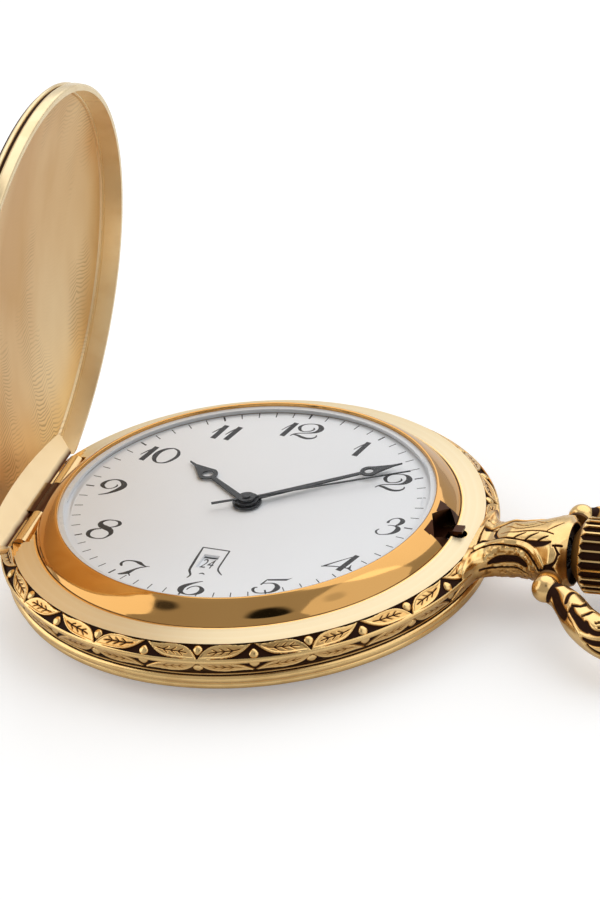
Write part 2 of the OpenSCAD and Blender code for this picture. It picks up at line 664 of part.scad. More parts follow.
module main_plate() color(steel) {
    post(minute_at, plate_top - 0.85, plate_top - 0.1, 0.16);
    difference() {
        union() {
            post([0, 0], plate_z, plate_top, move_r);
            ring(wall_r, move_r, plate_z - 1.7, dial_z);
            for (p = bridge_posts) post(p, post_z, plate_z + eps, post_r);
            for (p = board_posts) post(p, board_z + board_t, plate_z + eps, post_r);
            for (p = strap_posts) post(p, cell_z, plate_z + eps, post_r);
            for (p = keeper_posts) post(p, plate_top - eps, keeper_z, 0.9);
        }
        // pockets of the motion work
        post([0, 0], plate_top - 0.8, plate_top + 1, 2.15);
        post(minute_at, plate_top - 0.8, plate_top + 1, 2.05);
        post(date_at, plate_top - 0.45, plate_top + 1, motion_m * 32 + 0.25);
        // bores for centre tube and pivots
        post([0, 0], 0, full, tube_r + run);
        for (p = [third_at, mid_at, rotor_at]) post(p, plate_z - 1, plate_z + 0.4, pivot_hole);
        // battery and stem
        post(cell_at, 0, plate_z + 0.3, cell_r + 0.15);
        along_x(groove_x, full, stem_r + 0.1);
        along_x(pinion_x - 3.2, groove_x, 0.22 + run);
        along_x(pinion_x - 1.4, groove_x + 1, 0.46 + run);
        translate([pinion_x - 0.15, -pinion_r - 0.2, plate_z - 1]) cube([pinion_len + 0.3, 2 * pinion_r + 0.4, plate_t + 2]);
        translate([groove_x - 0.1, 0.2, plate_z - 1]) cube([groove_w + pull + 0.2, 0.8, axis_z - plate_z + 1.5]);
        // screw and feet holes
        for (p = concat(bridge_posts, board_posts, strap_posts, coil_posts, [lever_at])) post(p, 0, plate_z + 0.3, screw_r);
        for (p = keeper_posts) post(p, plate_top - 0.3, full, screw_r);
        post(jumper_at, plate_top - 0.3, full, screw_r);
        for (a = foot_dirs) post(polar(a, wall_r + 0.35), dial_z - 0.7, full, 0.24);
        // hollow for the coil and bearing of the date wheel
        translate([-3.8, coil_y - 0.8, 0]) cube([7.6, 1.6, plate_z + 0.4]);
        post(date_at, plate_top - 0.8, full, 0.2 + run);
    }
}

module dial() color("#f2f2f0") difference() {
    union() {
        post([0, 0], dial_z, dial_top, dial_r);
        for (a = foot_dirs) post(polar(a, wall_r + 0.35), dial_z - 0.6, dial_z + eps, 0.2);
    }
    post([0, 0], 0, full, pipe_r + 0.2);
    rotate(dial_turn - 90) translate([date_r, 0.3, 0]) linear_extrude(full) square([2.4, 1.6], center = true);
}

// Date ring: inner teeth below the keeper and a raised band for the numbers close under the dial
module date_ring() color("#f4f4f2") difference() {
    union() {
        ring(date_in - date_tooth, date_out, date_z, date_z + date_t);
        ring(keeper_r + free, date_out, date_z, dial_z - eps);
    }
    translate([0, 0, date_z - 1]) linear_extrude(date_t + 1.2) polygon([for (i = [0:30], k = [0:3])
        polar(360 * (i + [-0.42, -0.2, 0.2, 0.42][k]) / 31, (k == 1 || k == 2) ? date_in : date_in - date_tooth - eps)]);
}

module date_keeper() color(steel) difference() {
    post([0, 0], keeper_z, keeper_z + keeper_t, keeper_r);
    post([0, 0], 0, full, pipe_r + 0.15);
    post(date_at, 0, full, 0.6);
    for (p = keeper_posts) post(p, 0, full, screw_r + 0.05);
}

module date_jumper() color(steel) difference() {
    union() {
        post(jumper_at, plate_top, plate_top + 0.2, 0.7);
        translate([0, 0, plate_top]) linear_extrude(0.2) polygon([
            jumper_at + [-0.4, -0.3], jumper_at + [0.4, -0.3], polar(233, date_in - date_tooth - 0.5),
            polar(232, date_in - date_tooth - 0.06), polar(230, date_in - date_tooth - 0.5)]);
    }
    post(jumper_at, 0, full, screw_r + 0.05);
}

module date_driving_wheel() color(brass) {
    wheel(date_at, plate_top - 0.35, 0.2, 64, motion_m, date_phase);
    post(date_at, plate_top - 0.2, keeper_z + keeper_t, 0.5);
    post(date_at, plate_top - 0.75, plate_top, 0.2);
    translate([date_at[0], date_at[1], date_z - 0.05]) rotate(-50) translate([0, -0.2, 0]) cube([finger_len, 0.4, 0.3]);
}

module hour_wheel() color(brass) difference() {
    union() {
        wheel([0, 0], plate_top - 0.35, 0.2, 32, motion_m, -60);
        post([0, 0], plate_top - 0.35, hour_z + hand_t, pipe_r);
    }
    post([0, 0], 0, full, pipe_bore);
}

module minute_wheel() color(brass) difference() {
    union() {
        wheel(minute_at, plate_top - 0.72, 0.17, 30, motion_m, 120 + 180 / 30);
        wheel(minute_at, plate_top - 0.6, 0.45, 8, motion_m, 120 + 180 / 8);
    }
    post(minute_at, 0, full, 0.2);
}

module centre_wheel() color(brass) difference() {
    union() {
        wheel([0, 0], plate_z - 0.6, 0.15, 64, third_m, 200);
        post([0, 0], plate_z - 0.6, minute_z + hand_t, tube_r);
        wheel([0, 0], plate_top - 0.75, 0.35, 10, motion_m, -60);
    }
    post([0, 0], 0, full, arbor + run);
}

module third_wheel() color(brass) {
    wheel(third_at, post_z + 0.15, 0.15, 60, train_m, 200);
    wheel(third_at, plate_z - 0.65, 0.35, 8, third_m, 20 + 180 / 8);
    post(third_at, post_z + 0.1, plate_z - 0.1, 0.2);
    post(third_at, bridge_z + 0.1, plate_z + 0.3, pivot);
}

module seconds_wheel() color(brass) {
    wheel([0, 0], post_z + 0.1, 0.4, 8, train_m, 200 + 180 / 8);
    wheel([0, 0], post_z + 0.55, 0.15, 60, train_m, 60);
    post([0, 0], post_z + 0.05, post_z + 0.75, 0.25);
    post([0, 0], bridge_z + 0.1, seconds_z + hand_t, arbor);
}

module intermediate_wheel() color(brass) {
    wheel(mid_at, post_z + 0.1, 0.15, 60, rotor_m, 95);
    wheel(mid_at, post_z + 0.5, 0.3, 10, train_m, 240 + 180 / 10);
    post(mid_at, post_z + 0.05, plate_z - 0.1, 0.2);
    post(mid_at, bridge_z + 0.1, plate_z + 0.3, pivot);
}

module rotor() color("#5a5d62") {
    wheel(rotor_at, post_z + 0.05, 0.35, 12, rotor_m, 275 + 180 / 12);
    post(rotor_at, plate_z - 0.45, plate_z - 0.1, 0.8);
    post(rotor_at, post_z + 0.1, plate_z - 0.1, 0.2);
    post(rotor_at, bridge_z + 0.1, plate_z + 0.3, pivot);
}

module stator() color("#9ea2a8") translate([0, 0, plate_z - 0.3]) linear_extrude(0.3) difference() {
    union() {
        translate([-5.6, rotor_at[1] - 1.05]) square([11.2, 2.1]);
        for (s = [-1, 1]) translate([s * 5 - 0.6, rotor_at[1]]) square([1.2, coil_y + 0.5 - rotor_at[1]]);
    }
    translate(rotor_at) circle(1);
    for (p = coil_posts) translate(p) circle(screw_r + 0.05);
}

module core_bar() translate([-5.6, coil_y - 0.5, plate_z - 0.55]) cube([11.2, 1, 0.25]);

module coil_core() color("#9ea2a8") difference() {
    core_bar();
    for (p = coil_posts) post(p, 0, full, screw_r + 0.05);
}

module coil_winding() color("#b5652b") difference() {
    translate([-3.6, coil_y, plate_z - 0.425]) rotate([0, 90, 0]) cylinder(h = 7.2, r = 0.7);
    core_bar();
}

module bridge_shape() union() {
    translate([-0.5, 0]) circle(4.6);
    for (p = bridge_posts) translate(p) circle(1.15);
    translate(rotor_at) circle(1.3);
    translate([rotor_at[0] - 1.2, 2]) square([2.4, rotor_at[1] - 2]);
    translate([4, -1.2]) square([1, 1.2]);
}

module train_bridge() color(steel) difference() {
    translate([0, 0, bridge_z]) linear_extrude(bridge_t) bridge_shape();
    for (p = [[0, 0], third_at, mid_at, rotor_at]) post(p, 0, full, (p == [0, 0] ? arbor : pivot) + run);
    for (p = bridge_posts) post(p, 0, full, screw_r + 0.05);
}

module circuit_board() color("#2f6b43") difference() {
    translate([0, 0, board_z]) linear_extrude(board_t) intersection() {
        circle(wall_r - 0.3);
        polygon([[-full, 4.8 - move_r], [-5.4, 4.8 - move_r], [-5.4, coil_y - 1.7], [6.5, coil_y - 1.7],
                 [6.5, full], [-full, full]]);
    }
    for (p = board_posts) post(p, 0, full, screw_r + 0.05);
}

module circuit_chip() color("#1e2022") translate([-8.6, -4.6, board_z + board_t]) cube([2.2, 2.2, 0.5]);

module quartz_resonator() color("#c8ccd2") {
    translate([-9, 5.5, board_z + board_t + 0.7]) rotate([90, 0, 0]) cylinder(h = 5, r = 0.7);
}

module battery() color("#d5d8db") {
    post(cell_at, cell_z, cell_z + cell_h - 0.5, cell_r);
    post(cell_at, cell_z + cell_h - 0.55, cell_z + cell_h, cell_r - 0.5);
}

module battery_insulator() color("#7d4f2a") post(cell_at, plate_z + 0.2, plate_z + 0.3, cell_r - 0.2);

module battery_strap() color("#d8b56a") difference() {
    d = strap_posts[1] - strap_posts[0];
    translate([strap_posts[0][0], strap_posts[0][1], cell_z - strap_t]) rotate(atan2(d[1], d[0]))
        linear_extrude(strap_t) union() {
            circle(0.9);
            translate([norm(d), 0]) circle(0.9);
            translate([0, -0.8]) square([norm(d), 1.6]);
        }
    for (p = strap_posts) post(p, 0, full, screw_r + 0.05);
}

module movement_clamps() color(steel) for (a = clamp_dirs) difference() {
    rotate(a) translate([wall_r + 0.1, -1.2, plate_z - 2]) cube([clamp_r - wall_r + 0.9, 2.4, 0.3]);
    post(polar(a, clamp_r), 0, full, screw_r + 0.05);
}

// Screws of the movement: a slotted head under the part it holds and a shank into the metal above
module screw(at, z, len, head = head_r, up = true, head_t = 0.3) {
    z1 = up ? z - head_t : z;
    difference() {
        post(at, z1, z1 + head_t, head);
        translate([at[0] - 1, at[1] - 0.1, up ? z1 - eps : z1 + head_t - 0.05]) cube([2, 0.2, 0.1]);
    }
    post(at, up ? z - eps : z - len, up ? z + len : z + 0.02, screw_r - 0.01);
}

module movement_screws() color("#8f939a") {
    for (p = bridge_posts) screw(p, bridge_z, bridge_t + 1.5);
    for (p = board_posts) screw(p, board_z, board_t + 1.5);
    for (p = strap_posts) screw(p, cell_z - strap_t, strap_t + 1.5);
    for (a = clamp_dirs) screw(polar(a, clamp_r), plate_z - 2, 1.3);
    for (p = coil_posts) screw(p, plate_z - 0.55, 0.75, 0.5);
    screw(lever_at, plate_z - 0.44, 0.7);
    for (p = keeper_posts) screw(p, keeper_z + keeper_t, 0.5, 0.6, false, keeper_head);
    screw(jumper_at, plate_top + 0.2, 0.4, 0.6, false, 0.1);
}

// Hands with a hollow ring near the point
module ringed_hand(z, dir, len, ring_at, ring_out, ring_in, hub, width, bore) color(hand_grey)
    translate([0, 0, z]) rotate(dir) difference() {
        union() {
            linear_extrude(hand_t) union() {
                polygon([[0, -width], [0, width], [ring_at - ring_out + 0.1, width * 0.62],
                         [ring_at - ring_out + 0.1, -width * 0.62]]);
                translate([ring_at, 0]) circle(ring_out);
                polygon([[ring_at + 0.1, -ring_out], [ring_at + ring_out * 1.1, -ring_out * 0.62],
                         [len - 0.9, -0.13], [len, -0.06], [len, 0.06], [len - 0.9, 0.13],
                         [ring_at + ring_out * 1.1, ring_out * 0.62], [ring_at + 0.1, ring_out]]);
            }
            cylinder(h = boss_t, r = hub);
        }
        translate([0, 0, -1]) cylinder(h = 3, r = bore);
        translate([ring_at, 0, -1]) cylinder(h = 3, r = ring_in);
    }

module hour_hand() ringed_hand(hour_z, hour_dir, hour_len, hour_len * 0.69, 0.97, 0.55, 1.4, 0.36, pipe_r);

module minute_hand() ringed_hand(minute_z, minute_dir, minute_len, minute_len * 0.785, 0.85, 0.43, 1.15, 0.33, tube_r);

module seconds_hand() color(hand_grey) translate([0, 0, seconds_z]) rotate(seconds_dir) difference() {
    union() {
        linear_extrude(0.1) polygon([[-3.4, -0.16], [-3.4, 0.16], [0, 0.12], [seconds_len, 0.07], [seconds_len, -0.07],
                                     [0, -0.12]]);
        cylinder(h = 0.18, r = 0.85);
        cylinder(h = 0.3, r = 0.4);
    }
    translate([0, 0, -1]) cylinder(h = 1 + hand_t, r = arbor);
}

case_band();
front_bezel();
crystal();
crystal_gasket();
back_cover();
back_gasket();
case_hinge();
hinge_pin();
lift_spring();
lid_rim();
lid_dome();
lid_hinge_leaf();
pendant();
pendant_tube();
stem_gasket();
bow();
crown();
crown_sleeve();
crown_spring();
stem();
sliding_pinion();
setting_lever();
lid_catch();
catch_spring();
movement_ring();
main_plate();
dial();
date_ring();
date_keeper();
date_jumper();
date_driving_wheel();
hour_wheel();
minute_wheel();
centre_wheel();
third_wheel();
seconds_wheel();
intermediate_wheel();
rotor();
stator();
coil_core();
coil_winding();
train_bridge();
circuit_board();
circuit_chip();
quartz_resonator();
battery();
battery_insulator();
battery_strap();
movement_clamps();
movement_screws();
hour_hand();
minute_hand();
seconds_hand();
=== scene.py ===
import json
import math

import bpy
import numpy as np
from mathutils import Matrix, Vector


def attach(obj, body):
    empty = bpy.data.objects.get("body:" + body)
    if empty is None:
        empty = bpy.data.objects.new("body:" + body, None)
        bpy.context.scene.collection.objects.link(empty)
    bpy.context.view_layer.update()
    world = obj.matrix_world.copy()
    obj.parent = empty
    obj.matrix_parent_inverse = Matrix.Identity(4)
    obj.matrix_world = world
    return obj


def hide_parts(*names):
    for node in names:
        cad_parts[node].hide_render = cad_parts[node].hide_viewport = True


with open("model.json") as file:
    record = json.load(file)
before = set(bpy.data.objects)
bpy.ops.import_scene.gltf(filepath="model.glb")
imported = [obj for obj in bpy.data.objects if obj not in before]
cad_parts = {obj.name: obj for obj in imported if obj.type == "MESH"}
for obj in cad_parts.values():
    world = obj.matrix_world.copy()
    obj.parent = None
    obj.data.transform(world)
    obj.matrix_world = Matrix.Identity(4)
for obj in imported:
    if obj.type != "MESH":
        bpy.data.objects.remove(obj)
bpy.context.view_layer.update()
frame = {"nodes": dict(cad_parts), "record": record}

# Shapes are worked out in millimetres and brought to metres when a mesh is made
MM = 0.001

# Heights and radii that the looks share with the solids
AXIS_Z = 5.4
LIP_Z = 6.3
LIP_R = 22.63
CASE_R = 23.9
RIDGE_Z = 5.05
SEAM_Z = 1.4
BEAD_R = 0.46
BEAD_RUN_R = 22.55
BEZEL_R = 20.27
BEZEL_Z = LIP_Z + 0.33
SKIRT_R = 18.45
SKIRT_Z = LIP_Z - 0.15
CREST_R = 18.18
CREST_Z = 8.55
DIAL_TOP = 7.7
RING_TOP = 7.35
GLASS_Z = 7.8
GLASS_R = 17.5
DIAL_TURN = math.radians(-4)
HINGE = (-20.4, 5.85)
HINGE_FLAT = -19.4
LID_OPEN = math.radians(82.6)
LID_Z = 6.5
LID_TOP = 8.6
LID_CHORD = -20.1
STUD_X = 31.05
# Further than any piece reaches, for the tools that cut pieces off
FAR = 60

# Garland: leaves round the band, turned so that its first foot lies beside the pendant
LEAVES = 28
LEAF_COLUMNS = 64
GARLAND_START = math.radians(-6.6)

# Camera, as it stood for the photograph of 600 by 900 pixels
CAM_AZ = math.radians(20.54)
CAM_EL = math.radians(29.60)
CAM_ROLL = math.radians(-5.79)
CAM_DIST = 520
CAM_TARGET = (0.97576, 13.09383, LIP_Z)
FOCAL_PIXELS = 5356
PHOTO_TALL = 900
SENSOR = 36


# Small helpers for outlines
def arc(cx, cy, r, a0, a1, n):
    t = np.radians(np.linspace(a0, a1, n + 1))
    return [(cx + r * math.cos(a), cy + r * math.sin(a)) for a in t]


def cap_line(r, rise, z, n=24):
    """Outline of a shallow dome, from its rim at height z to its middle."""
    big = (r * r + rise * rise) / (2 * rise)
    reach = [r * (1 - i / n) for i in range(n + 1)]
    return [(x, z + (math.sqrt(big * big - x * x) - big + rise)) for x in reach]


def shell_line(outer, inner, pole=0.002):
    """Outline over one dome and back under another, which meet at a pole of almost no width."""
    return outer[:-1] + [(pole, outer[-1][1]), (pole, inner[-1][1])] + inner[-2::-1]


def dense(points, step):
    """A polyline with no stretch longer than step."""
    out = []
    for a, b in zip(points[:-1], points[1:]):
        n = max(1, int(math.ceil(math.dist(a, b) / step)))
        out += [tuple(np.array(a) + (np.array(b) - np.array(a)) * k / n) for k in range(n)]
    return out + [tuple(points[-1])]


def smooth(e0, e1, x):
    t = np.clip((x - e0) / (e1 - e0), 0, 1)
    return t * t * (3 - 2 * t)


def spline(points, samples):
    """Points of a smooth curve through the given ones, in any number of dimensions."""
    p = np.asarray(points, float)
    t = np.linspace(0, len(p) - 1, samples)
    i = np.minimum(t.astype(int), len(p) - 2)
    f = (t - i)[:, None]
    a, b, c, d = p[np.maximum(i - 1, 0)], p[i], p[i + 1], p[np.minimum(i + 2, len(p) - 1)]
    return 0.5 * (2 * b + (c - a) * f + (2 * a - 5 * b + 4 * c - d) * f ** 2
                  + (3 * b - a - 3 * c + d) * f ** 3)


def trace(strokes, along, across, period=None):
    """How far each place lies within strokes of (along, across, half width), from 0 to 1."""
    best = np.zeros(np.broadcast(along, across).shape)
    for stroke in strokes:
        for x, y, half in spline(stroke, 14 * (len(stroke) - 1) + 1):
            aside = across - y if period is None else (across - y + period / 2) % period - period / 2
            gap = np.hypot(along - x, aside) / (half * 1.75)
            best = np.maximum(best, 1 - smooth(0.55, 1.35, gap))
    return best


def placed(strokes, round_mm, shift=0, over=None):
    """Strokes with their degrees across made millimetres, moved along, and turned over where asked."""
    return [[(a + shift, (b if over is None else over - b) * round_mm, half) for a, b, half in stroke]
            for stroke in strokes]


def eased(x, values, reach=0.3):
    """Values along x with their corners rounded."""
    weight = np.exp(-((x[:, None] - x[None, :]) / reach) ** 2)
    slope = np.gradient(values, x)
    there = values[None, :] + slope[None, :] * (x[:, None] - x[None, :])
    return (weight * there).sum(1) / weight.sum(1)


def grain(along, across, pitch):
    """A fine uneven graining from 0 to 1."""
    def knot(i, j):
        v = np.sin(i * 127.1 + j * 311.7) * 43758.5453
        return v - np.floor(v)

    i, j = np.floor(along / pitch), np.floor(across / pitch)
    f, g = smooth(0, 1, along / pitch - i), smooth(0, 1, across / pitch - j)
    low = knot(i, j) * (1 - f) + knot(i + 1, j) * f
    high = knot(i, j + 1) * (1 - f) + knot(i + 1, j + 1) * f
    return low * (1 - g) + high * g


# Mesh makers
def shown(name, data):
    """A new object in the scene."""
    obj = bpy.data.objects.new(name, data)
    bpy.context.scene.collection.objects.link(obj)
    return obj


def mesh_piece(name, verts, faces, sharp=35, patina_and_shade=None):
    mesh = bpy.data.meshes.new(name)
    mesh.from_pydata((np.asarray(verts, float) * MM).tolist(), [], faces)
    if patina_and_shade is not None:
        layer = mesh.attributes.new("patina_and_shade", "FLOAT", "POINT")
        layer.data.foreach_set("value", np.asarray(patina_and_shade, np.float32).ravel())
    mesh.polygons.foreach_set("use_smooth", [True] * len(mesh.polygons))
    mesh.set_sharp_from_angle(angle=math.radians(sharp))
    return shown(name, mesh)


def grid_faces(rows, cols, wrap_rows, start=0):
    """Four-sided faces between rows of points that each run round a ring."""
    rr, cc = np.meshgrid(np.arange(rows if wrap_rows else rows - 1), np.arange(cols), indexing="ij")
    r2, c2 = (rr + 1) % rows, (cc + 1) % cols
    quads = np.stack([rr * cols + cc, rr * cols + c2, r2 * cols + c2, r2 * cols + cc], -1)
    return (quads.reshape(-1, 4) + start).tolist()


def grid_piece(name, points, sharp, wrap_rows=False, caps=False, patina_and_shade=None):
    """points has the shape (rows, cols, 3); caps close the first and last rows of a tube."""
    rows, cols = points.shape[:2]
    faces = grid_faces(rows, cols, wrap_rows)
    if caps:
        faces.append(list(range(cols))[::-1])
        faces.append(list(range((rows - 1) * cols, rows * cols)))
    return mesh_piece(name, points.reshape(-1, 3), faces, sharp, patina_and_shade)


def turned(name, profile, columns, sharp, sunk=None):
    """A closed outline of radius and height, turned round the case's axis; sunk is each point's patina."""
    p = np.array(profile)
    a = np.linspace(0, 2 * math.pi, columns, endpoint=False)
    pts = np.stack([p[:, :1] * np.cos(a), p[:, :1] * np.sin(a), np.repeat(p[:, 1:], columns, 1)], -1)
    patina_and_shade = None if sunk is None else np.repeat(np.array(sunk, float)[:, None], columns, 1)
    return grid_piece(name, pts, sharp, wrap_rows=True, patina_and_shade=patina_and_shade)


def box_piece(name, lo, hi):
    corners = [(x, y, z) for x in (lo[0], hi[0]) for y in (lo[1], hi[1]) for z in (lo[2], hi[2])]
    faces = [(0, 1, 3, 2), (4, 6, 7, 5), (0, 4, 5, 1), (2, 3, 7, 6), (0, 2, 6, 4), (1, 5, 7, 3)]
    return mesh_piece(name, corners, faces)


def prism_piece(name, outline, z0, z1):
    n = len(outline)
    verts = [(x, y, z) for z in (z0, z1) for x, y in outline]
    sides = [(k, (k + 1) % n, n + (k + 1) % n, n + k) for k in range(n)]
    return mesh_piece(name, verts, [tuple(range(n))[::-1], tuple(range(n, 2 * n))] + sides)


def bore_piece(name, r, x0, x1):
    """A round bar along the stem's axis."""
    obj = prism_piece(name, arc(0, 0, r, 0, 345, 24), x0, x1)
    obj.data.transform(Matrix(((0, 0, 1, 0), (1, 0, 0, 0), (0, 1, 0, AXIS_Z * MM), (0, 0, 0, 1))))
    return obj


def cut(obj, cutters, sharp):
    """Takes the cutters' space out of obj and removes the cutters."""
    for tool in cutters:
        step = obj.modifiers.new("cut", "BOOLEAN")
        step.solver = "MANIFOLD"
        step.operation = "DIFFERENCE"
        step.object = tool
        graph = bpy.context.evaluated_depsgraph_get()
        made = bpy.data.meshes.new_from_object(obj.evaluated_get(graph))
        obj.modifiers.clear()
        obj.data = made
        bpy.data.objects.remove(tool)
    obj.data.set_sharp_from_angle(angle=math.radians(sharp))


def opened(points):
    """Turns points of the closed lid to where the lid stands open."""
    p = np.array(points, float)
    x, z = p[..., 0] - HINGE[0], p[..., 2] - HINGE[1]
    c, s = math.cos(-LID_OPEN), math.sin(-LID_OPEN)
    p[..., 0] = x * c + z * s + HINGE[0]
    p[..., 2] = -x * s + z * c + HINGE[1]
    return p


def open_piece(obj):
    co = np.zeros(len(obj.data.vertices) * 3)
    obj.data.vertices.foreach_get("co", co)
    obj.data.vertices.foreach_set("co", (opened(co.reshape(-1, 3) / MM) * MM).ravel())
    obj.data.update()
    return obj


def add(obj, body, mat, slot, *nodes):
    """Dresses a piece, lets it ride on a body and stand for the named nodes."""
    obj.data.materials.clear()
    obj.data.materials.append(mat)
    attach(obj, body)
    if nodes:
        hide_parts(*nodes)


def stain(obj, lo, hi, mat):
    """Gives the faces whose middle lies in a box a second material."""
    mesh = obj.data
    middle = np.zeros(len(mesh.polygons) * 3)
    mesh.polygons.foreach_get("center", middle)
    middle = middle.reshape(-1, 3) / MM
    inside = np.all((middle > lo) & (middle < hi), axis=1)
    mesh.materials.append(mat)
    mesh.polygons.foreach_set("material_index", inside.astype(np.int32))


# Materials
def srgb(text):
    """A colour for a shader, from the code that a screen takes."""
    v = np.array([int(text[k:k + 2], 16) / 255 for k in (1, 3, 5)])
    return tuple(np.where(v <= 0.04045, v / 12.92, ((v + 0.055) / 1.055) ** 2.4)) + (1.0,)


class Nodes:
    """A node tree with short ways to add the nodes that the looks share."""

    def __init__(self, owner, output):
        owner.use_nodes = True
        self.tree = owner.node_tree
        self.tree.nodes.clear()
        self.out = self.node(output)

    def plug(self, socket, value):
        """Sets a socket to a constant, or links it to another node's output."""
        if isinstance(value, bpy.types.NodeSocket):
            self.tree.links.new(value, socket)
        else:
            socket.default_value = value

    def node(self, kind, *values, **settings):
        """A new node with its settings, and with values for its first sockets."""
        n = self.tree.nodes.new(kind)
        for key, setting in settings.items():
            setattr(n, key, setting)
        for socket, value in zip(n.inputs, values):
            self.plug(socket, value)
        return n

    def math(self, op, *values):
        return self.node("ShaderNodeMath", *values, operation=op).outputs[0]

    def spread(self, value, a, b, lo, hi):
        """Takes values from a to b to values from lo to hi."""
        return self.node("ShaderNodeMapRange", value, a, b, lo, hi).outputs["Result"]

    def toward(self, way, x, y, z):
        """How far a direction agrees with the given one."""
        return self.node("ShaderNodeVectorMath", way, (x, y, z), operation="DOT_PRODUCT").outputs["Value"]

    def show(self, kind, *values):
        """Lets a shader node of the values be what is seen."""
        self.plug(self.out.inputs["Surface"], self.node(kind, *values).outputs[0])


class Paint(Nodes):
    """A material round one principled shader."""

    def __init__(self, name):
        self.mat = bpy.data.materials.new(name)
        super().__init__(self.mat, "ShaderNodeOutputMaterial")
        self.bsdf = self.node("ShaderNodeBsdfPrincipled")
        self.plug(self.out.inputs["Surface"], self.bsdf.outputs[0])
        self.place = self.node("ShaderNodeTexCoord").outputs["Object"]

    def parts(self):
        """The place's x, y and z."""
        return self.node("ShaderNodeSeparateXYZ", self.place).outputs

    def distance(self, a, b):
        return self.math("SQRT", self.math("ADD", self.math("MULTIPLY", a, a), self.math("MULTIPLY", b, b)))

    def noise(self, scale, detail, stretch=(1, 1, 1), vector=None):
        m = self.node("ShaderNodeMapping", vector or self.place)
        m.inputs["Scale"].default_value = stretch
        n = self.node("ShaderNodeTexNoise", m.outputs[0])
        n.inputs["Scale"].default_value = scale
        n.inputs["Detail"].default_value = detail
        return n.outputs["Fac"]

    def mix(self, factor, a, b):
        """A colour between a and b."""
        n = self.node("ShaderNodeMix", factor, data_type="RGBA")
        self.plug(n.inputs[6], a)
        self.plug(n.inputs[7], b)
        return n.outputs[2]

    def bump(self, height, depth, strength=1.0):
        n = self.node("ShaderNodeBump", strength, depth * MM)
        self.plug(n.inputs["Height"], height)
        self.plug(self.bsdf.inputs["Normal"], n.outputs[0])

    def set(self, **values):
        for key, value in values.items():
            self.plug(self.bsdf.inputs[key.replace("_", " ")], value)


def plain(name, light, dark, metallic, rough, grain=900, depth=0.004, stretch=(1, 1, 1), specular=0.5):
    """A finish whose colour, gloss and surface vary with a fine grain."""
    p = Paint(name)
    cloud = p.noise(grain * 0.12, 4, stretch)
    fine = p.noise(grain, 2, stretch)
    p.set(Metallic=metallic, Specular_IOR_Level=specular,
          Base_Color=p.mix(cloud, srgb(dark), srgb(light)),
          Roughness=p.spread(fine, 0.2, 0.8, rough * 0.8, rough * 1.2))
    p.bump(fine, depth)
    return p.mat


def gold_polished(rough=0.07):
    p = Paint("gold_polished")
    fine = p.noise(1200, 2)
    p.set(Metallic=1.0, Base_Color=p.mix(p.noise(70, 3), srgb("#cc9652"), srgb("#dcac6a")),
          Roughness=p.spread(fine, 0.3, 0.7, rough * 0.8, rough * 1.2))
    p.bump(fine, 0.0005)
    return p.mat


def gold_relief(name, light="#f4ce8d", mid="#c88f48", deep="#2c1407", rough=0.28, metal=1.0):
    """Cast gold: dark patina where the mesh says it is sunk, dark painted shade where it marks shade, and
    turned satin where it says -1.
    """
    p = Paint(name)
    sunk = p.node("ShaderNodeAttribute", attribute_name="patina_and_shade").outputs["Fac"]
    fine = p.noise(2500, 3)
    rubbed = p.math("ADD", sunk, p.spread(p.noise(450, 4), 0.35, 0.65, -0.06, 0.08))
    dark = p.spread(rubbed, 0.3, 0.7, 0.0, 1.0)
    warm = p.spread(rubbed, 0.0, 0.4, 0.0, 1.0)
    cast = p.mix(dark, p.mix(warm, srgb(light), srgb(mid)), srgb(deep))
    x, y, _ = p.parts()
    rings = p.noise(1500, 3, vector=p.node("ShaderNodeCombineXYZ", p.distance(x, y)).outputs[0])
    turned_gold = p.mix(p.spread(rings, 0.3, 0.7, 0, 1), srgb("#eed8ab"), srgb("#f6e6c4"))
    satin = p.spread(sunk, -0.9, -0.5, 1.0, 0.0)
    bare = p.spread(dark, 0, 1, metal, 0.0)
    tarnish_and_shade = p.math("ADD", p.math("MULTIPLY", dark, 0.5), p.math("MULTIPLY", fine, 0.12))
    dull = p.spread(tarnish_and_shade, 0.1, 0.7, rough * 0.8, 0.62)
    p.set(Base_Color=p.mix(satin, cast, turned_gold),
          Metallic=p.math("SUBTRACT", bare, p.math("MULTIPLY", satin, 0.5)),
          Roughness=p.math("ADD", dull, p.math("MULTIPLY", satin, 0.12)),
          Specular_IOR_Level=0.08)
    p.bump(fine, 0.0015)
    return p.mat


def gold_brushed_lid(column=3.2 * MM, round_brush=3.4 * MM, line=0.42 * MM):
    """Pale satin gold: columns of arcs left by a round brush, strong in some places and faint in others."""
    p = Paint("gold_brushed_lid")
    _, y, z = p.parts()
    across = p.math("ADD", y, p.spread(p.noise(40, 2), 0.3, 0.7, -1.5 * MM, 1.5 * MM))
    aside = p.math("SUBTRACT", p.math("PINGPONG", across, column), column / 2)
    arch = p.math("SQRT", p.math("SUBTRACT", round_brush ** 2, p.math("MULTIPLY", aside, aside)))
    wobble = p.spread(p.noise(300, 2), 0.3, 0.7, -0.4 * MM, 0.4 * MM)
    rise = p.math("ADD", p.math("ADD", z, arch), wobble)
    arcs = p.math("SINE", p.math("MULTIPLY", rise, 2 * math.pi / line))
    patch = p.spread(p.noise(120, 2, (1, 1.4, 0.5)), 0.5, 0.68, 0.04, 1.0)
    cut_lines = p.math("MULTIPLY", arcs, patch)
    cloud = p.noise(75, 4, (1, 1, 0.35))
    broad = p.noise(28, 2, (1, 1, 0.5))
    tone = p.math("ADD", p.math("MULTIPLY", cloud, 0.45), p.math("MULTIPLY", broad, 0.55))
    base = p.mix(p.spread(tone, 0.4, 0.6, 0, 1), srgb("#dcb074"), srgb("#ffe8bc"))
    p.set(Metallic=0.9, Base_Color=p.mix(p.spread(cut_lines, 0.0, -1.0, 0.0, 0.5), base, srgb("#8e6838")),
          Roughness=p.spread(cloud, 0.3, 0.7, 0.3, 0.44))
    p.bump(cut_lines, 0.008, 0.6)
    return p.mat


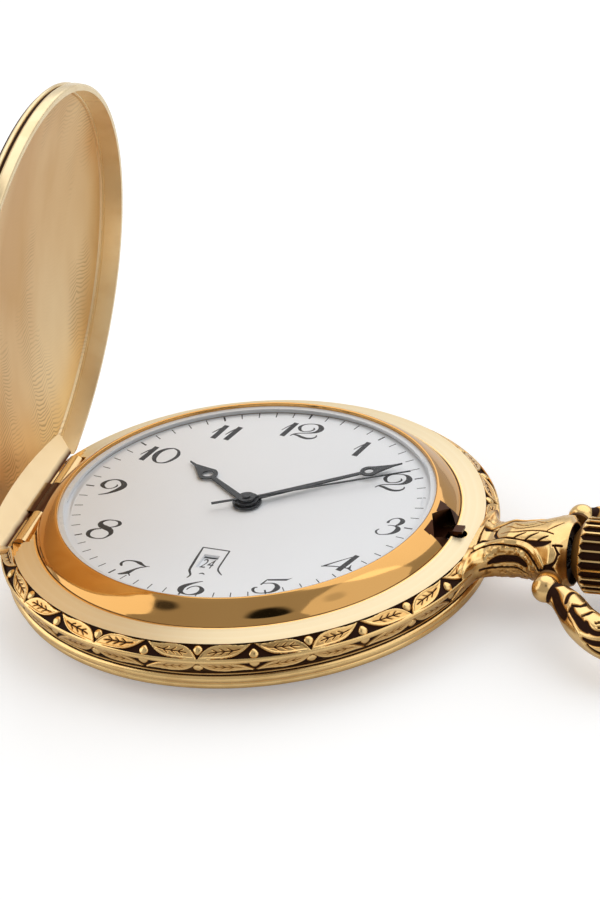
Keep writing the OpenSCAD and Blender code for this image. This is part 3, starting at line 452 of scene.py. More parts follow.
def leaf_gold():
    """Pale satin of the lid's leaf, with painted shade where it bends down to the hinge's middle knuckle."""
    p = Paint("gold_leaf")
    x, _, z = p.parts()
    away = p.distance(p.math("SUBTRACT", x, HINGE[0] * MM), p.math("SUBTRACT", z, HINGE[1] * MM))
    fine = p.noise(700, 2)
    uneven = p.math("ADD", away, p.math("MULTIPLY", fine, 0.2 * MM))
    # painted shade: dark brown within about 1.5 mm of the hinge's axis
    tarnish_and_shade = p.spread(uneven, 1.25 * MM, 1.75 * MM, 1.0, 0.0)
    satin = p.mix(p.noise(90, 4), srgb("#e8cc9c"), srgb("#f2dcb2"))
    p.set(Base_Color=p.mix(tarnish_and_shade, satin, srgb("#4a2811")), Metallic=p.spread(tarnish_and_shade, 0, 1, 0.6, 1.0),
          Roughness=p.spread(fine, 0.2, 0.8, 0.28, 0.4))
    p.bump(fine, 0.003)
    return p.mat


def crystal_glass():
    """Clear thin glass: straight through, with a faint mirror that grows toward the edge."""
    p = Paint("crystal_glass")
    smear = p.noise(40, 2)
    p.set(Metallic=1.0, Base_Color=p.mix(smear, (0.93, 0.95, 0.98, 1.0), (1.0, 1.0, 1.0, 1.0)),
          Roughness=p.spread(smear, 0.3, 0.7, 0.02, 0.05))
    mirror = p.node("ShaderNodeFresnel", 1.02)
    clear = p.node("ShaderNodeBsdfTransparent")
    p.show("ShaderNodeMixShader", mirror.outputs[0], clear.outputs[0], p.bsdf.outputs[0])
    return p.mat


GOLD = gold_polished()
KNUCKLE = plain("gold_knuckle", "#e6cc9e", "#d0ac74", 1.0, 0.2)
RELIEF = gold_relief("gold_relief")
LID_IN = gold_brushed_lid()
SATIN_LID = gold_relief("gold_lid_rim", "#f8e2b6", "#d4a868", "#3a2010", 0.3, 0.7)
LEAF = leaf_gold()
# Dark brown for the catch, also used as painted shade on the walls of its pocket
DARK_CATCH_AND_SHADE = plain("dark_catch_and_pocket_shade", "#4c2911", "#2e1608", 1.0, 0.32)
HANDS = plain("hand_lacquer", "#3a3c3f", "#323437", 0.3, 0.42, grain=2200, depth=0.002)
INK = plain("dial_ink", "#2e2e31", "#28282b", 0.0, 0.5, grain=2500, depth=0.001)
DATE_INK = plain("date_ink", "#434346", "#3b3b3e", 0.0, 0.5, grain=2500, depth=0.001)
GLASS = crystal_glass()
SLOT_FINISH = {
    "gold": plain("gold_inner", "#e2ba78", "#cfa05a", 1.0, 0.25),
    "steel": plain("bright_steel", "#c4c7cb", "#a9adb2", 1.0, 0.28, stretch=(1, 1, 6)),
    "glass": GLASS,
    "white_nylon": plain("white_nylon", "#eceef0", "#dfe2e5", 0.0, 0.3),
    "seal_rubber": plain("seal_rubber", "#303236", "#232528", 0.0, 0.7, depth=0.01),
    "dial_white": plain("dial_enamel", "#f5f7fa", "#f2f4f7", 0.0, 0.5, 1500, 0.001, specular=0.1),
    "hand_grey": HANDS,
    "movement_plastic": plain("movement_plastic", "#dddedf", "#cfd1d3", 0.0, 0.45),
    "wheel_brass": plain("wheel_brass", "#d0ae58", "#bb9743", 1.0, 0.3),
    "nickel": plain("nickel", "#a7abb1", "#8f949b", 1.0, 0.32),
    "copper_wire": plain("copper_wire", "#bf6e31", "#9e5523", 1.0, 0.35, stretch=(12, 1, 1)),
    "board_green": plain("board_green", "#356f49", "#28603c", 0.0, 0.4),
    "chip_black": plain("chip_black", "#222427", "#18191b", 0.0, 0.35),
    "amber_film": plain("amber_film", "#8a5a30", "#704422", 0.0, 0.25),
}


def dress_nodes():
    """Every solid that stays visible gets the finish of its slot."""
    rows = frame["record"]["subparts"]
    finish = {row["node"]: SLOT_FINISH[row["material_slot"]] for row in rows}
    # the catch is dark brown; the hinge leaf carries painted shade by the middle knuckle
    finish.update(lid_hinge_leaf=LEAF, case_hinge=KNUCKLE, lid_catch=DARK_CATCH_AND_SHADE)
    for name, obj in frame["nodes"].items():
        obj.data.materials.clear()
        obj.data.materials.append(finish[name])


# Garland: one slanted leaf to each pitch, standing from a foot at the ridge to a tip at the lip
LEAF_TOP = [(0.0, 0.03), (0.05, 0.34), (0.12, 0.62), (0.22, 0.85), (0.34, 0.96), (0.5, 1.0), (0.66, 0.96),
            (0.78, 0.92), (0.9, 0.94), (1.0, 1.0)]
LEAF_LOW = [(0.0, -0.05), (0.14, -0.02), (0.32, 0.0), (0.48, 0.03), (0.6, 0.1), (0.7, 0.22), (0.8, 0.41),
            (0.88, 0.62), (0.95, 0.82), (1.0, 0.97)]
BAND_SLANT = 1.51
GARLAND_R = 23.3
LEAF_PITCH = 2 * math.pi * GARLAND_R / LEAVES
BERRY_R = 0.47


def curve_at(points, x):
    """Height of a smooth outline through the points, and its slope, at places x from 0 to 1."""
    fine = spline(points, 200)
    y = np.interp(x, fine[:, 0], fine[:, 1])
    slope = np.interp(x, fine[:, 0], np.gradient(fine[:, 1], fine[:, 0]))
    return y, slope


def garland(u, v):
    """Height from 0, sunk, to 1, proud, and patina, at pitch u round the band and height v up it."""
    k = np.floor(u)
    f = u - k
    x = np.where(k % 2 == 0, f, 1 - f)
    stretch = BAND_SLANT / LEAF_PITCH
    top, top_slope = curve_at(LEAF_TOP, x)
    low, low_slope = curve_at(LEAF_LOW, x)
    d_top = (top - v) * BAND_SLANT / np.sqrt(1 + (top_slope * stretch) ** 2)
    d_low = (v - low) * BAND_SLANT / np.sqrt(1 + (low_slope * stretch) ** 2)
    d = np.minimum(d_top, d_low)
    leaf = smooth(0.0, 0.09, d)
    border = 1 - smooth(0.17, 0.26, d)
    # fishbone veins that point to the leaf's tip
    middle = (top + low) / 2
    across = (v - middle) * BAND_SLANT
    along = x * LEAF_PITCH
    vein = np.exp(-(across / 0.06) ** 2) * smooth(0.16, 0.22, x) * (1 - smooth(0.74, 0.8, x))
    for start in (0.36, 0.5, 0.64):
        back = start * LEAF_PITCH - along
        branch = np.exp(-((np.abs(across) - back * 0.62) / 0.06) ** 2)
        branch = branch * smooth(-0.05, 0.05, back) * (1 - smooth(0.42, 0.6, back))
        vein = np.maximum(vein, branch)
    vein = vein * smooth(0.12, 0.2, d)
    height = leaf * (0.84 + 0.16 * border) - 0.3 * vein
    patina_and_shade = np.maximum(1 - leaf, vein)
    patina_and_shade = np.maximum(patina_and_shade, 0.16 * leaf * (1 - border))
    # berries over each foot and under each tip
    for away, at, point in ((along, 0.61, -1), (LEAF_PITCH - along, 0.33, 1)):
        up = (v - at) * BAND_SLANT
        taper = 1 + 0.45 * np.clip(up * point / 0.5, 0, 1)
        rho = np.hypot(away * taper, up / 1.05) / BERRY_R
        ball = np.sqrt(np.clip(1 - rho ** 2, 0, 1))
        height = np.where(rho < 1, 0.25 + 0.85 * ball, height)
        patina_and_shade = np.where(rho < 1, 0.8 * (1 - smooth(0.0, 0.35, ball)), patina_and_shade)
    return height, patina_and_shade


def band_outline():
    """The case middle's closed outline and each point's zone: 0 plain, 1 garland, 2 its mirror, 3 sunk."""
    low_bead = arc(BEAD_RUN_R, SEAM_Z + 0.55, BEAD_R, -110, 40, 14)
    high_bead = arc(BEAD_RUN_R + 0.38, SEAM_Z + 1.38, BEAD_R, -85, 80, 14)
    ridge = arc(CASE_R - 0.35, RIDGE_Z, 0.35, -35, 50, 10)
    wall = dense([(BEAD_RUN_R + 0.93, SEAM_Z + 2.32), ridge[0]], 0.045)
    slope = dense([ridge[-1], (LIP_R, LIP_Z)], 0.05)
    lip = dense([(LIP_R, LIP_Z), (BEZEL_R + 0.03, BEZEL_Z)], 0.3)
    inner = [(BEZEL_R + 0.03, SKIRT_Z), (18.5, SKIRT_Z), (18.5, SEAM_Z)]
    parts = [([(BEAD_RUN_R - 0.45, SEAM_Z)], 0), (low_bead, 0), ([(BEAD_RUN_R + 0.23, SEAM_Z + 0.94)], 3),
             (high_bead, 0), ([(BEAD_RUN_R + 0.4, SEAM_Z + 2.02)], 3), (wall[:-1], 2), (ridge, 0),
             (slope[1:-1], 1), (lip, 0), (inner, 0)]
    return [p for pts, _ in parts for p in pts], [z for pts, z in parts for _ in pts], slope, wall


def case_band():
    outline, zones, slope, wall = band_outline()
    p = np.array(outline)
    zone = np.array(zones)
    columns = LEAVES * LEAF_COLUMNS
    a = GARLAND_START - np.arange(columns) * 2 * math.pi / columns
    u = np.arange(columns) * LEAVES / columns
    ahead = np.roll(p, -1, 0) - np.roll(p, 1, 0)
    normal = np.stack([ahead[:, 1], -ahead[:, 0]], -1) / np.hypot(*ahead.T)[:, None]
    height = np.zeros((len(p), columns))
    patina_and_shade = np.zeros((len(p), columns))
    slope_run = math.dist(slope[0], slope[-1])
    # each row's place up the garland, the relief's depth in millimetres, and how dark its hollows are
    for i in np.flatnonzero((zone == 1) | (zone == 2)):
        if zone[i] == 1:
            v, depth, dark = math.dist(p[i], slope[0]) / slope_run, 0.24, 1
        else:
            v, depth, dark = 0.1 + math.dist(p[i], wall[-1]) / 1.2, 0.17, 0.72
        proud, sunk = garland(u, np.full(columns, v))
        height[i] = (proud - 1) * depth
        patina_and_shade[i] = sunk * dark
    patina_and_shade[zone == 3] = 1
    # satin lip, and a dark line where it meets the bezel
    patina_and_shade[(p[:, 1] > LIP_Z - 0.02) & (p[:, 0] > BEZEL_R + 0.1)] = -1
    patina_and_shade[(p[:, 1] > LIP_Z + 0.3) & (p[:, 0] < BEZEL_R + 0.1)] = 0.8
    moved = p[:, None, :] + normal[:, None, :] * height[..., None]
    pts = np.stack([moved[..., 0] * np.cos(a), moved[..., 0] * np.sin(a), moved[..., 1]], -1)
    obj = grid_piece("case_band_relief", pts[:, ::-1], 60, wrap_rows=True, patina_and_shade=patina_and_shade[:, ::-1])
    slot = [(19.6, -0.75)] + arc(20.95, 0, 0.75, -90, 90, 16) + [(19.6, 0.75)]
    cut(obj, [
        box_piece("hinge_seat", (-FAR, -8.1, 4.9), (HINGE_FLAT, 8.1, FAR)),
        box_piece("lid_side", (-FAR, -FAR, 6.2), (LID_CHORD, FAR, FAR)),
        box_piece("catch_room", (SKIRT_R, -1.45, AXIS_Z - 0.55), (22.0, 1.45, AXIS_Z + 0.45)),
        prism_piece("catch_slot", slot, AXIS_Z, 9),
        box_piece("catch_way", (20.9, -1.3, AXIS_Z - 0.45), (25, 1.3, AXIS_Z + 0.45)),
        bore_piece("stem_bore", 0.92, CASE_R - 1.25, CASE_R + 1),
    ], 50)
    add(obj, "case", RELIEF, "gold", "case_band")
    # the walls round the catch are painted dark brown: painted shade in its pocket
    stain(obj, (18.4, -1.6, 4.5), (22.3, 1.6, LIP_Z + 0.02), DARK_CATCH_AND_SHADE)


def front_bezel():
    side = dense([(BEZEL_R, SKIRT_Z), (BEZEL_R, BEZEL_Z)], 0.2)
    face = spline([(BEZEL_R, BEZEL_Z), (19.95, 7.12), (19.35, 7.72), (18.75, 8.22), (18.35, 8.5)], 24)
    crest = [(CREST_R + 0.08, CREST_Z), (CREST_R, CREST_Z), (CREST_R - 0.1, CREST_Z - 0.04)]
    bore_r, seat_r, low = CREST_R - 0.13, 17.75, 5.3
    inner = [(bore_r, CREST_Z - 0.12), (bore_r, GLASS_Z), (seat_r, GLASS_Z), (seat_r, low), (SKIRT_R, low),
             (SKIRT_R, SKIRT_Z)]
    obj = turned("bezel_polished", side[:-1] + [tuple(q) for q in face] + crest + inner, 720, 40)
    opening = [(18.4, 0), (19.35, -2.7), (20.55, -0.8), (20.55, 0.8), (19.35, 2.7)]
    cut(obj, [
        prism_piece("catch_opening", opening, 5.15, 9.2),
        box_piece("hinge_side", (-FAR, -FAR, 0), (HINGE_FLAT, FAR, FAR)),
    ], 40)
    add(obj, "case", GOLD, "gold", "front_bezel")
    # and so are those of the bezel's opening for it, as painted shade
    stain(obj, (18.38, -2.75, 5), (20.6, 2.75, 8.3), DARK_CATCH_AND_SHADE)


# Dial print: each numeral is a set of pen strokes, drawn with y down on a grid of its own.
# A stroke is a row of (x, y, half width); a row that starts with "fill" is an outline to be filled.
ONE = [[(142, 56, 27), (88, 352, 30)], [(128, 78, 5), (84, 140, 6), (38, 228, 4)]]
TWO = [[(300, 108, 3), (313, 132, 7), (300, 160, 7), (270, 178, 4), (235, 186, 4), (202, 172, 10),
        (178, 128, 15), (188, 90, 9), (215, 65, 5), (260, 50, 4), (312, 50, 7), (350, 75, 18),
        (370, 120, 25), (356, 162, 20), (322, 190, 10), (270, 207, 6), (205, 224, 5), (170, 245, 6),
        (148, 278, 4)],
       [(160, 250, 4), (205, 258, 11), (255, 280, 13), (302, 292, 13), (345, 283, 11), (370, 260, 8),
        (374, 236, 5), (368, 222, 3)]]
THREE = [[(96, 146, 8), (93, 130, 13), (96, 100, 8), (115, 66, 5), (150, 43, 5), (185, 44, 11),
          (214, 66, 20), (226, 102, 24), (213, 142, 18), (188, 176, 8)],
         [(110, 187, 3), (145, 180, 4), (185, 184, 8), (220, 208, 20), (231, 250, 27), (213, 298, 20),
          (178, 333, 10), (130, 354, 5), (85, 361, 5), (52, 340, 8), (38, 308, 9), (48, 276, 5),
          (56, 267, 3)]]
FOUR = [[(302, 42, 25), (215, 348, 30)], [(265, 78, 4), (160, 180, 6), (48, 298, 10)],
        [(26, 310, 6), (80, 293, 7), (185, 281, 6), (255, 282, 5), (318, 290, 6)],
        ["fill", (305, 215), (326, 297), (262, 293), (296, 268)]]
FIVE = [["fill", (108, 92), (310, 38), (343, 12), (303, 74), (128, 112)], [(115, 100, 6), (88, 200, 9)],
        [(100, 175, 4), (148, 157, 5), (195, 150, 8), (235, 167, 16), (266, 212, 27), (262, 258, 24),
         (238, 300, 13), (200, 325, 8), (145, 346, 6), (95, 348, 8), (60, 325, 12), (43, 290, 14),
         (52, 262, 9), (76, 254, 5)]]
SIX = [[(230, 40, 4), (185, 65, 8), (138, 102, 14), (93, 146, 24), (68, 192, 31), (68, 236, 31),
        (90, 278, 20), (140, 305, 8), (195, 306, 7), (250, 278, 17), (278, 240, 26), (280, 196, 26),
        (250, 152, 13), (205, 139, 6), (162, 158, 6), (137, 192, 6), (131, 226, 3)]]
SEVEN = [[(80, 160, 6), (62, 134, 15), (53, 100, 13), (66, 66, 10), (100, 42, 8), (150, 34, 9),
          (200, 40, 14), (250, 58, 22), (296, 88, 14), (340, 107, 6), (386, 102, 3)],
         ["fill", (386, 98), (300, 128), (250, 170), (200, 226), (150, 280), (98, 317), (114, 332),
          (150, 326), (214, 298), (240, 332), (252, 328), (226, 290), (240, 246), (262, 196), (300, 152),
          (352, 122)]]
EIGHT = [[(190, 35, 5), (130, 42, 7), (90, 76, 14), (84, 112, 21), (112, 148, 28), (165, 171, 30),
          (213, 200, 25), (238, 246, 17), (230, 292, 10), (203, 335, 6), (150, 352, 5)],
         [(190, 35, 5), (233, 50, 12), (253, 86, 16), (240, 120, 10), (205, 145, 6), (170, 158, 5)],
         [(125, 190, 5), (72, 212, 10), (43, 255, 19), (52, 308, 17), (92, 343, 10), (150, 352, 5)]]
NINE = [[(190, 128, 3), (200, 158, 8), (176, 200, 6), (130, 224, 5), (88, 212, 12), (52, 180, 20),
         (44, 140, 22), (62, 92, 14), (102, 55, 8), (150, 39, 8), (202, 52, 16), (248, 92, 27),
         (268, 140, 30), (252, 195, 29), (214, 255, 21), (168, 305, 12), (120, 336, 8), (82, 356, 4)]]
TEN = [[(124, 40, 24), (70, 298, 27)], [(104, 70, 4), (66, 130, 6), (26, 204, 4)],
       [(290, 30, 6), (226, 60, 14), (182, 122, 22), (171, 195, 25), (190, 265, 17), (240, 308, 7),
        (308, 292, 10), (356, 225, 15), (376, 145, 17), (350, 68, 11), (290, 30, 6)]]
ELEVEN = [[(136, 48, 29), (86, 342, 31)], [(110, 90, 4), (72, 158, 8), (36, 230, 4)],
          [(296, 50, 29), (236, 342, 31)], [(256, 98, 4), (222, 165, 8), (192, 234, 4)]]
TWELVE = [[(124, 62, 22), (78, 298, 24)], [(103, 82, 3), (70, 140, 4), (40, 205, 3)]] + TWO
# Numeral, its grid's corner in mm from the dial's centre with 12 up, and its grid's units to the millimetre
NUMERALS = [(TWELVE, (-2.59, 16.45), 88), (ONE, (5.82, 14.3), 107), (TWO, (8.95, 9.3), 81),
            (THREE, (13.43, 1.34), 101), (FOUR, (10.82, -5.93), 104), (FIVE, (5.93, -11.39), 104),
            (SIX, (-0.89, -13.66), 107), (SEVEN, (-8.05, -11.84), 115.5), (EIGHT, (-13.39, -5.25), 90.3),
            (NINE, (-15.66, 1.91), 104), (TEN, (-14.18, 8.73), 94.8), (ELEVEN, (-8.95, 14.18), 110.7)]
# Direction from 12, in degrees clockwise, and radius at which each hour's mark is seen
HOUR_MARKS = [(-0.96, 17.17), (28.68, 16.8), (59.7, 16.6), (92.03, 16.62), (122.5, 16.5), (152, 16.4),
              (180.3, 16.35), (208.8, 16.35), (237.12, 16.4), (269.73, 16.35), (300.72, 16.76),
              (330.41, 17.09)]


# How far the ink spreads past a stroke's own width
PEN = 0.012


def on_dial(x, y, turn=0.0):
    """From the dial's own frame, 12 up, or one turned further, to the case's."""
    c, s = math.cos(DIAL_TURN + turn), math.sin(DIAL_TURN + turn)
    return x * c - y * s, x * s + y * c


def flat_strokes(name, strokes, z0, z1):
    """Thin flat lines and filled outlines on the dial in one mesh, lying from z0 to z1."""
    verts, faces = [], []
    for k, stroke in enumerate(strokes):
        # strokes that cross have tops a little apart
        low, high = z0, z1 + 0.0004 * (k % 5)
        start = len(verts)
        if stroke[0] == "fill":
            outline = [on_dial(*q) for q in stroke[1:]]
            n = len(outline)
            verts += [(*q, low) for q in outline] + [(*q, high) for q in outline]
            faces += [tuple(range(start, start + n)), tuple(range(start + 2 * n - 1, start + n - 1, -1))]
            sides = [(i, n + i, n + (i + 1) % n, (i + 1) % n) for i in range(n)]
            faces += [tuple(start + i for i in side) for side in sides]
            continue
        q = spline(stroke, 10 * (len(stroke) - 1) + 1) if len(stroke) > 2 else np.array(stroke, float)
        ahead = np.gradient(q[:, :2], axis=0)
        side = np.stack([ahead[:, 1], -ahead[:, 0]], -1) / np.hypot(*ahead.T)[:, None]
        wide = q[:, 2:] + PEN
        for a, b in zip(q[:, :2] - side * wide, q[:, :2] + side * wide):
            left, right = on_dial(*a), on_dial(*b)
            verts += [(*left, high), (*right, high), (*right, low), (*left, low)]
        n = len(q)
        faces += grid_faces(n, 4, False, start)
        faces += [tuple(range(start + 3, start - 1, -1)), tuple(range(start + 4 * n - 4, start + 4 * n))]
    return mesh_piece(name, verts, faces, 30)


def dial_print():
    strokes = []
    for glyph, (x0, y0), unit in NUMERALS:
        for stroke in glyph:
            if stroke[0] == "fill":
                strokes.append(["fill"] + [(x0 + x / unit, y0 - y / unit) for x, y in stroke[1:]])
            else:
                strokes.append([(x0 + x / unit, y0 - y / unit, w / unit) for x, y, w in stroke])
    # minute track
    hours = np.arange(13) * 5
    turn = [a for a, _ in HOUR_MARKS] + [HOUR_MARKS[0][0] + 360]
    far = [r for _, r in HOUR_MARKS] + [HOUR_MARKS[0][1]]
    tick, hour_half, minute_half = 0.42, 0.075, 0.038
    for minute in range(60):
        a = math.radians(np.interp(minute, hours, turn))
        r = float(np.interp(minute, hours, far))
        half = minute_half if minute % 5 else hour_half
        strokes.append([((r + d) * math.sin(a), (r + d) * math.cos(a), half) for d in (-tick, tick)])
    # frame round the date opening, flared at its foot, with a small scroll
    line = 0.07
    strokes += [
        [(-1.15, -8.3, line), (1.62, -8.38, line)],
        [(-1.1, -8.3, line), (-0.98, -10.2, line * 1.5), (-0.9, -11.3, line * 1.6),
         (-0.78, -12.4, line * 1.5), (-0.38, -13.2, line * 1.2), (-0.5, -13.75, line * 0.6)],
        [(1.62, -8.36, line), (1.7, -10.4, line), (1.78, -11.6, line), (2.1, -12.15, line),
         (2.55, -12.6, line * 0.6)],
        [(0.35, -12.85, line * 0.5), (0.62, -12.7, line * 1.2), (0.9, -12.85, line * 0.5)],
    ]
    obj = flat_strokes("dial_print", strokes, DIAL_TOP - 0.002, DIAL_TOP + 0.006)
    add(obj, "case", INK, "hand_grey")


def digits(text, height):
    """Corners and flat faces of plain digits in the program's own letters, centred."""
    curve = bpy.data.curves.new("digits", "FONT")
    curve.body = text
    curve.size = height * 1.4
    curve.align_x = "CENTER"
    curve.align_y = "CENTER"
    curve.resolution_u = 3
    obj = shown("digits", curve)
    mesh = bpy.data.meshes.new_from_object(obj.evaluated_get(bpy.context.evaluated_depsgraph_get()))
    verts = [tuple(v.co)[:2] for v in mesh.vertices]
    faces = [tuple(f.vertices) for f in mesh.polygons]
    bpy.data.objects.remove(obj)
    return verts, faces


def date_numbers(today=24, tall=1.6, narrow=0.58, aside=0.24, below=10.55):
    """The numbers 1 to 31 on the date ring, with today's under the opening."""
    verts, faces = [], []
    for day in range(1, 32):
        flat, tris = digits(str(day), tall)
        turn = math.radians((day - today) * 360 / 31)
        start = len(verts)
        verts += [(*on_dial(narrow * x + aside, y - below, turn), RING_TOP + 0.006) for x, y in flat]
        faces += [tuple(k + start for k in f) for f in tris]
    add(mesh_piece("date_numbers", verts, faces), "date_ring", DATE_INK, "hand_grey")


def crystal():
    inner_r = 16.9
    dome = shell_line(cap_line(GLASS_R, 1.3, GLASS_Z + 1), cap_line(inner_r, 0.78, 8.52))
    pts = [(inner_r, GLASS_Z), (GLASS_R, GLASS_Z), (GLASS_R, GLASS_Z + 0.96)] + dome
    add(turned("crystal_dome", pts, 256, 50), "case", GLASS, "glass", "crystal")


def crystal_seal():
    """The seal keeps below the bezel's edge, so that it doesn't hide the near edge of the dial."""
    top, r0, r1 = GLASS_Z + 0.4, 17.51, 18.04
    obj = turned("crystal_seal", [(r0, GLASS_Z), (r1, GLASS_Z), (r1, top), (r0, top)], 384, 40)
    add(obj, "case", SLOT_FINISH["white_nylon"], "white_nylon", "crystal_gasket")


# Lid: rim and shell are made closed, cut off at the hinge, and then opened
def lid_piece(obj, mat, node):
    cut(obj, [box_piece("hinge_side", (-FAR, -FAR, 0), (LID_CHORD, FAR, FAR))], 40)
    add(open_piece(obj), "lid", mat, "gold", node)


def lid():
    band = arc(22.32, LID_Z + 0.28, 0.28, -90, 0, 8) + arc(22.3, 7.35, 0.3, 0, 80, 8)
    bead = arc(22.3, 8.16, 0.22, -80, 80, 10)
    inner = [(21.72, LID_TOP), (21.74, 8.3), (21.83, 8.26), (21.83, 8.16), (21.78, 8.12), (21.86, 7.4)]
    parts = [([(22.0, LID_Z)], 0), (band, 0), ([(22.25, 7.72), (22.25, 7.92)], 1), (bead, 0),
             ([(22.14, 8.42), (22.12, LID_TOP)], 0.7), (inner, 0)]
    rim = [q for pts, _ in parts for q in pts]
    sunk = [k for pts, k in parts for _ in pts]
    lid_piece(turned("lid_rim_ring", rim, 640, 40, sunk), SATIN_LID, "lid_rim")
    dome = shell_line(cap_line(22.1, 3.2, LID_TOP, 40), cap_line(21.6, 2.65, LID_TOP, 40))
    shell = [(21.8, LID_TOP - 0.02)] + dome + [(21.68, 8.4), (21.8, 8.38)]
    lid_piece(turned("lid_shell", shell, 512, 40), LID_IN, "lid_dome")


# Crown: cone, and a grip whose sunk flutes end in points
def crown(flutes=24, per=24):
    columns = flutes * per
    cone = [(32.3, 2.1), (32.6, 2.5), (33.0, 3.08), (33.3, 3.48), (33.45, 3.6)]
    line = dense(cone, 0.1)[:-1] + dense([(33.45, 3.6), (36.9, 3.6)], 0.08)[:-1]
    line += [(36.85 + 0.9 * math.sin(t), 0.02 + 3.58 * math.cos(t) ** 0.8)
             for t in np.radians(np.linspace(0, 89, 16))]
    q = np.array(line)
    phi = np.arange(columns) * 2 * math.pi / columns
    f = np.abs(((np.arange(columns) / per) + 0.5) % 1 - 0.5) * 2
    x = q[:, :1]
    end = np.minimum(smooth(33.28, 33.75, x), 1 - smooth(36.45, 36.9, x))
    width = 0.8 * np.minimum(np.clip((x - 33.3) / 0.4, 0, 1), np.clip((36.88 - x) / 0.4, 0, 1))
    sunk = (1 - smooth(0, 0.16, f[None, :] - width + 0.12)) * (width > 0.02)
    radius = q[:, 1:] - 0.32 * sunk * end
    # the flutes are dark in their hollows, and the cone is darker
    patina_and_shade = np.maximum(np.clip(sunk * 1.2, 0, 1) * (end > 0), 0.55 * (1 - smooth(33.1, 33.45, x)))
    # hollow back, for the stem
    back = np.array([[34.0, 0.3], [34.0, 1.35], [32.3, 1.35]])
    x = np.concatenate([back[:, :1], x])
    radius = np.concatenate([np.repeat(back[:, 1:], columns, 1), radius])
    patina_and_shade = np.concatenate([np.full((len(back), columns), 0.9), patina_and_shade])
    pts = np.stack([np.repeat(x, columns, 1), radius * np.cos(phi), AXIS_Z + radius * np.sin(phi)], -1)
    obj = grid_piece("crown_fluted", pts, 50, caps=True, patina_and_shade=patina_and_shade)
    add(obj, "crown", RELIEF, "gold", "crown")


# Bow: a swept ring that carries scrolls and hangs down until its end lies on the ground
BOW_REACH = 16.6
BOW_END_Z = 2.03
BOW_TILT = math.asin((AXIS_Z - BOW_END_Z) / BOW_REACH)


def bow_place(points):
    p = np.array(points, float)
    c, s = math.cos(BOW_TILT), math.sin(BOW_TILT)
    out = p.copy()
    out[..., 0] = STUD_X + p[..., 0] * c + p[..., 2] * s
    out[..., 2] = AXIS_Z - p[..., 0] * s + p[..., 2] * c
    return out


# Strokes of (distance from the bow's end, degrees from its inner side over the top, half width)
BOW_SUNK = [
    [(0.7, 30, 0.24), (1.0, 80, 0.34), (0.75, 120, 0.3), (1.05, 160, 0.36), (0.8, 200, 0.26)],
    [(1.18, 126, 0.2), (2.29, 151, 0.38), (3.54, 168, 0.42), (5.17, 161, 0.28)],
    [(4.19, 130, 0.12), (3.45, 107, 0.12), (3.1, 74, 0.1), (3.36, 49, 0.06)],
    [(5.04, 116, 0.1), (5.54, 94, 0.1), (5.2, 66, 0.1), (4.31, 46, 0.06)],
    [(6.75, 117, 0.06), (6.87, 98, 0.09), (6.75, 74, 0.06)],
    [(5.29, 125, 0.13), (5.91, 139, 0.25), (6.87, 139, 0.25), (7.74, 144, 0.18), (8.12, 147, 0.1)],
]
BOW_SCROLL = [
    [(7.49, 125, 0.09), (8.12, 138, 0.13), (8.74, 139, 0.13), (9.3, 128, 0.12), (9.7, 100, 0.1),
     (9.5, 76, 0.06)],
    [(8.3, 112, 0.05), (8.55, 100, 0.07), (8.9, 100, 0.07), (9.0, 112, 0.06), (8.75, 120, 0.05)],
    [(8.0, 174, 0.08), (8.74, 171, 0.13), (9.5, 160, 0.13), (10.4, 140, 0.1), (10.9, 116, 0.05)],
    [(8.5, 184, 0.05), (9.3, 192, 0.08), (10.2, 188, 0.08), (11.2, 172, 0.05)],
    [(7.9, 60, 0.06), (8.5, 52, 0.1), (9.3, 40, 0.1), (10.3, 30, 0.06)],
]
BOW_LINE = [[(5.54, 143, 0.07), (6.39, 150, 0.08), (7.37, 164, 0.09), (8.12, 189, 0.09), (9.4, 204, 0.07)]]
SCROLL_PITCH = 3.9


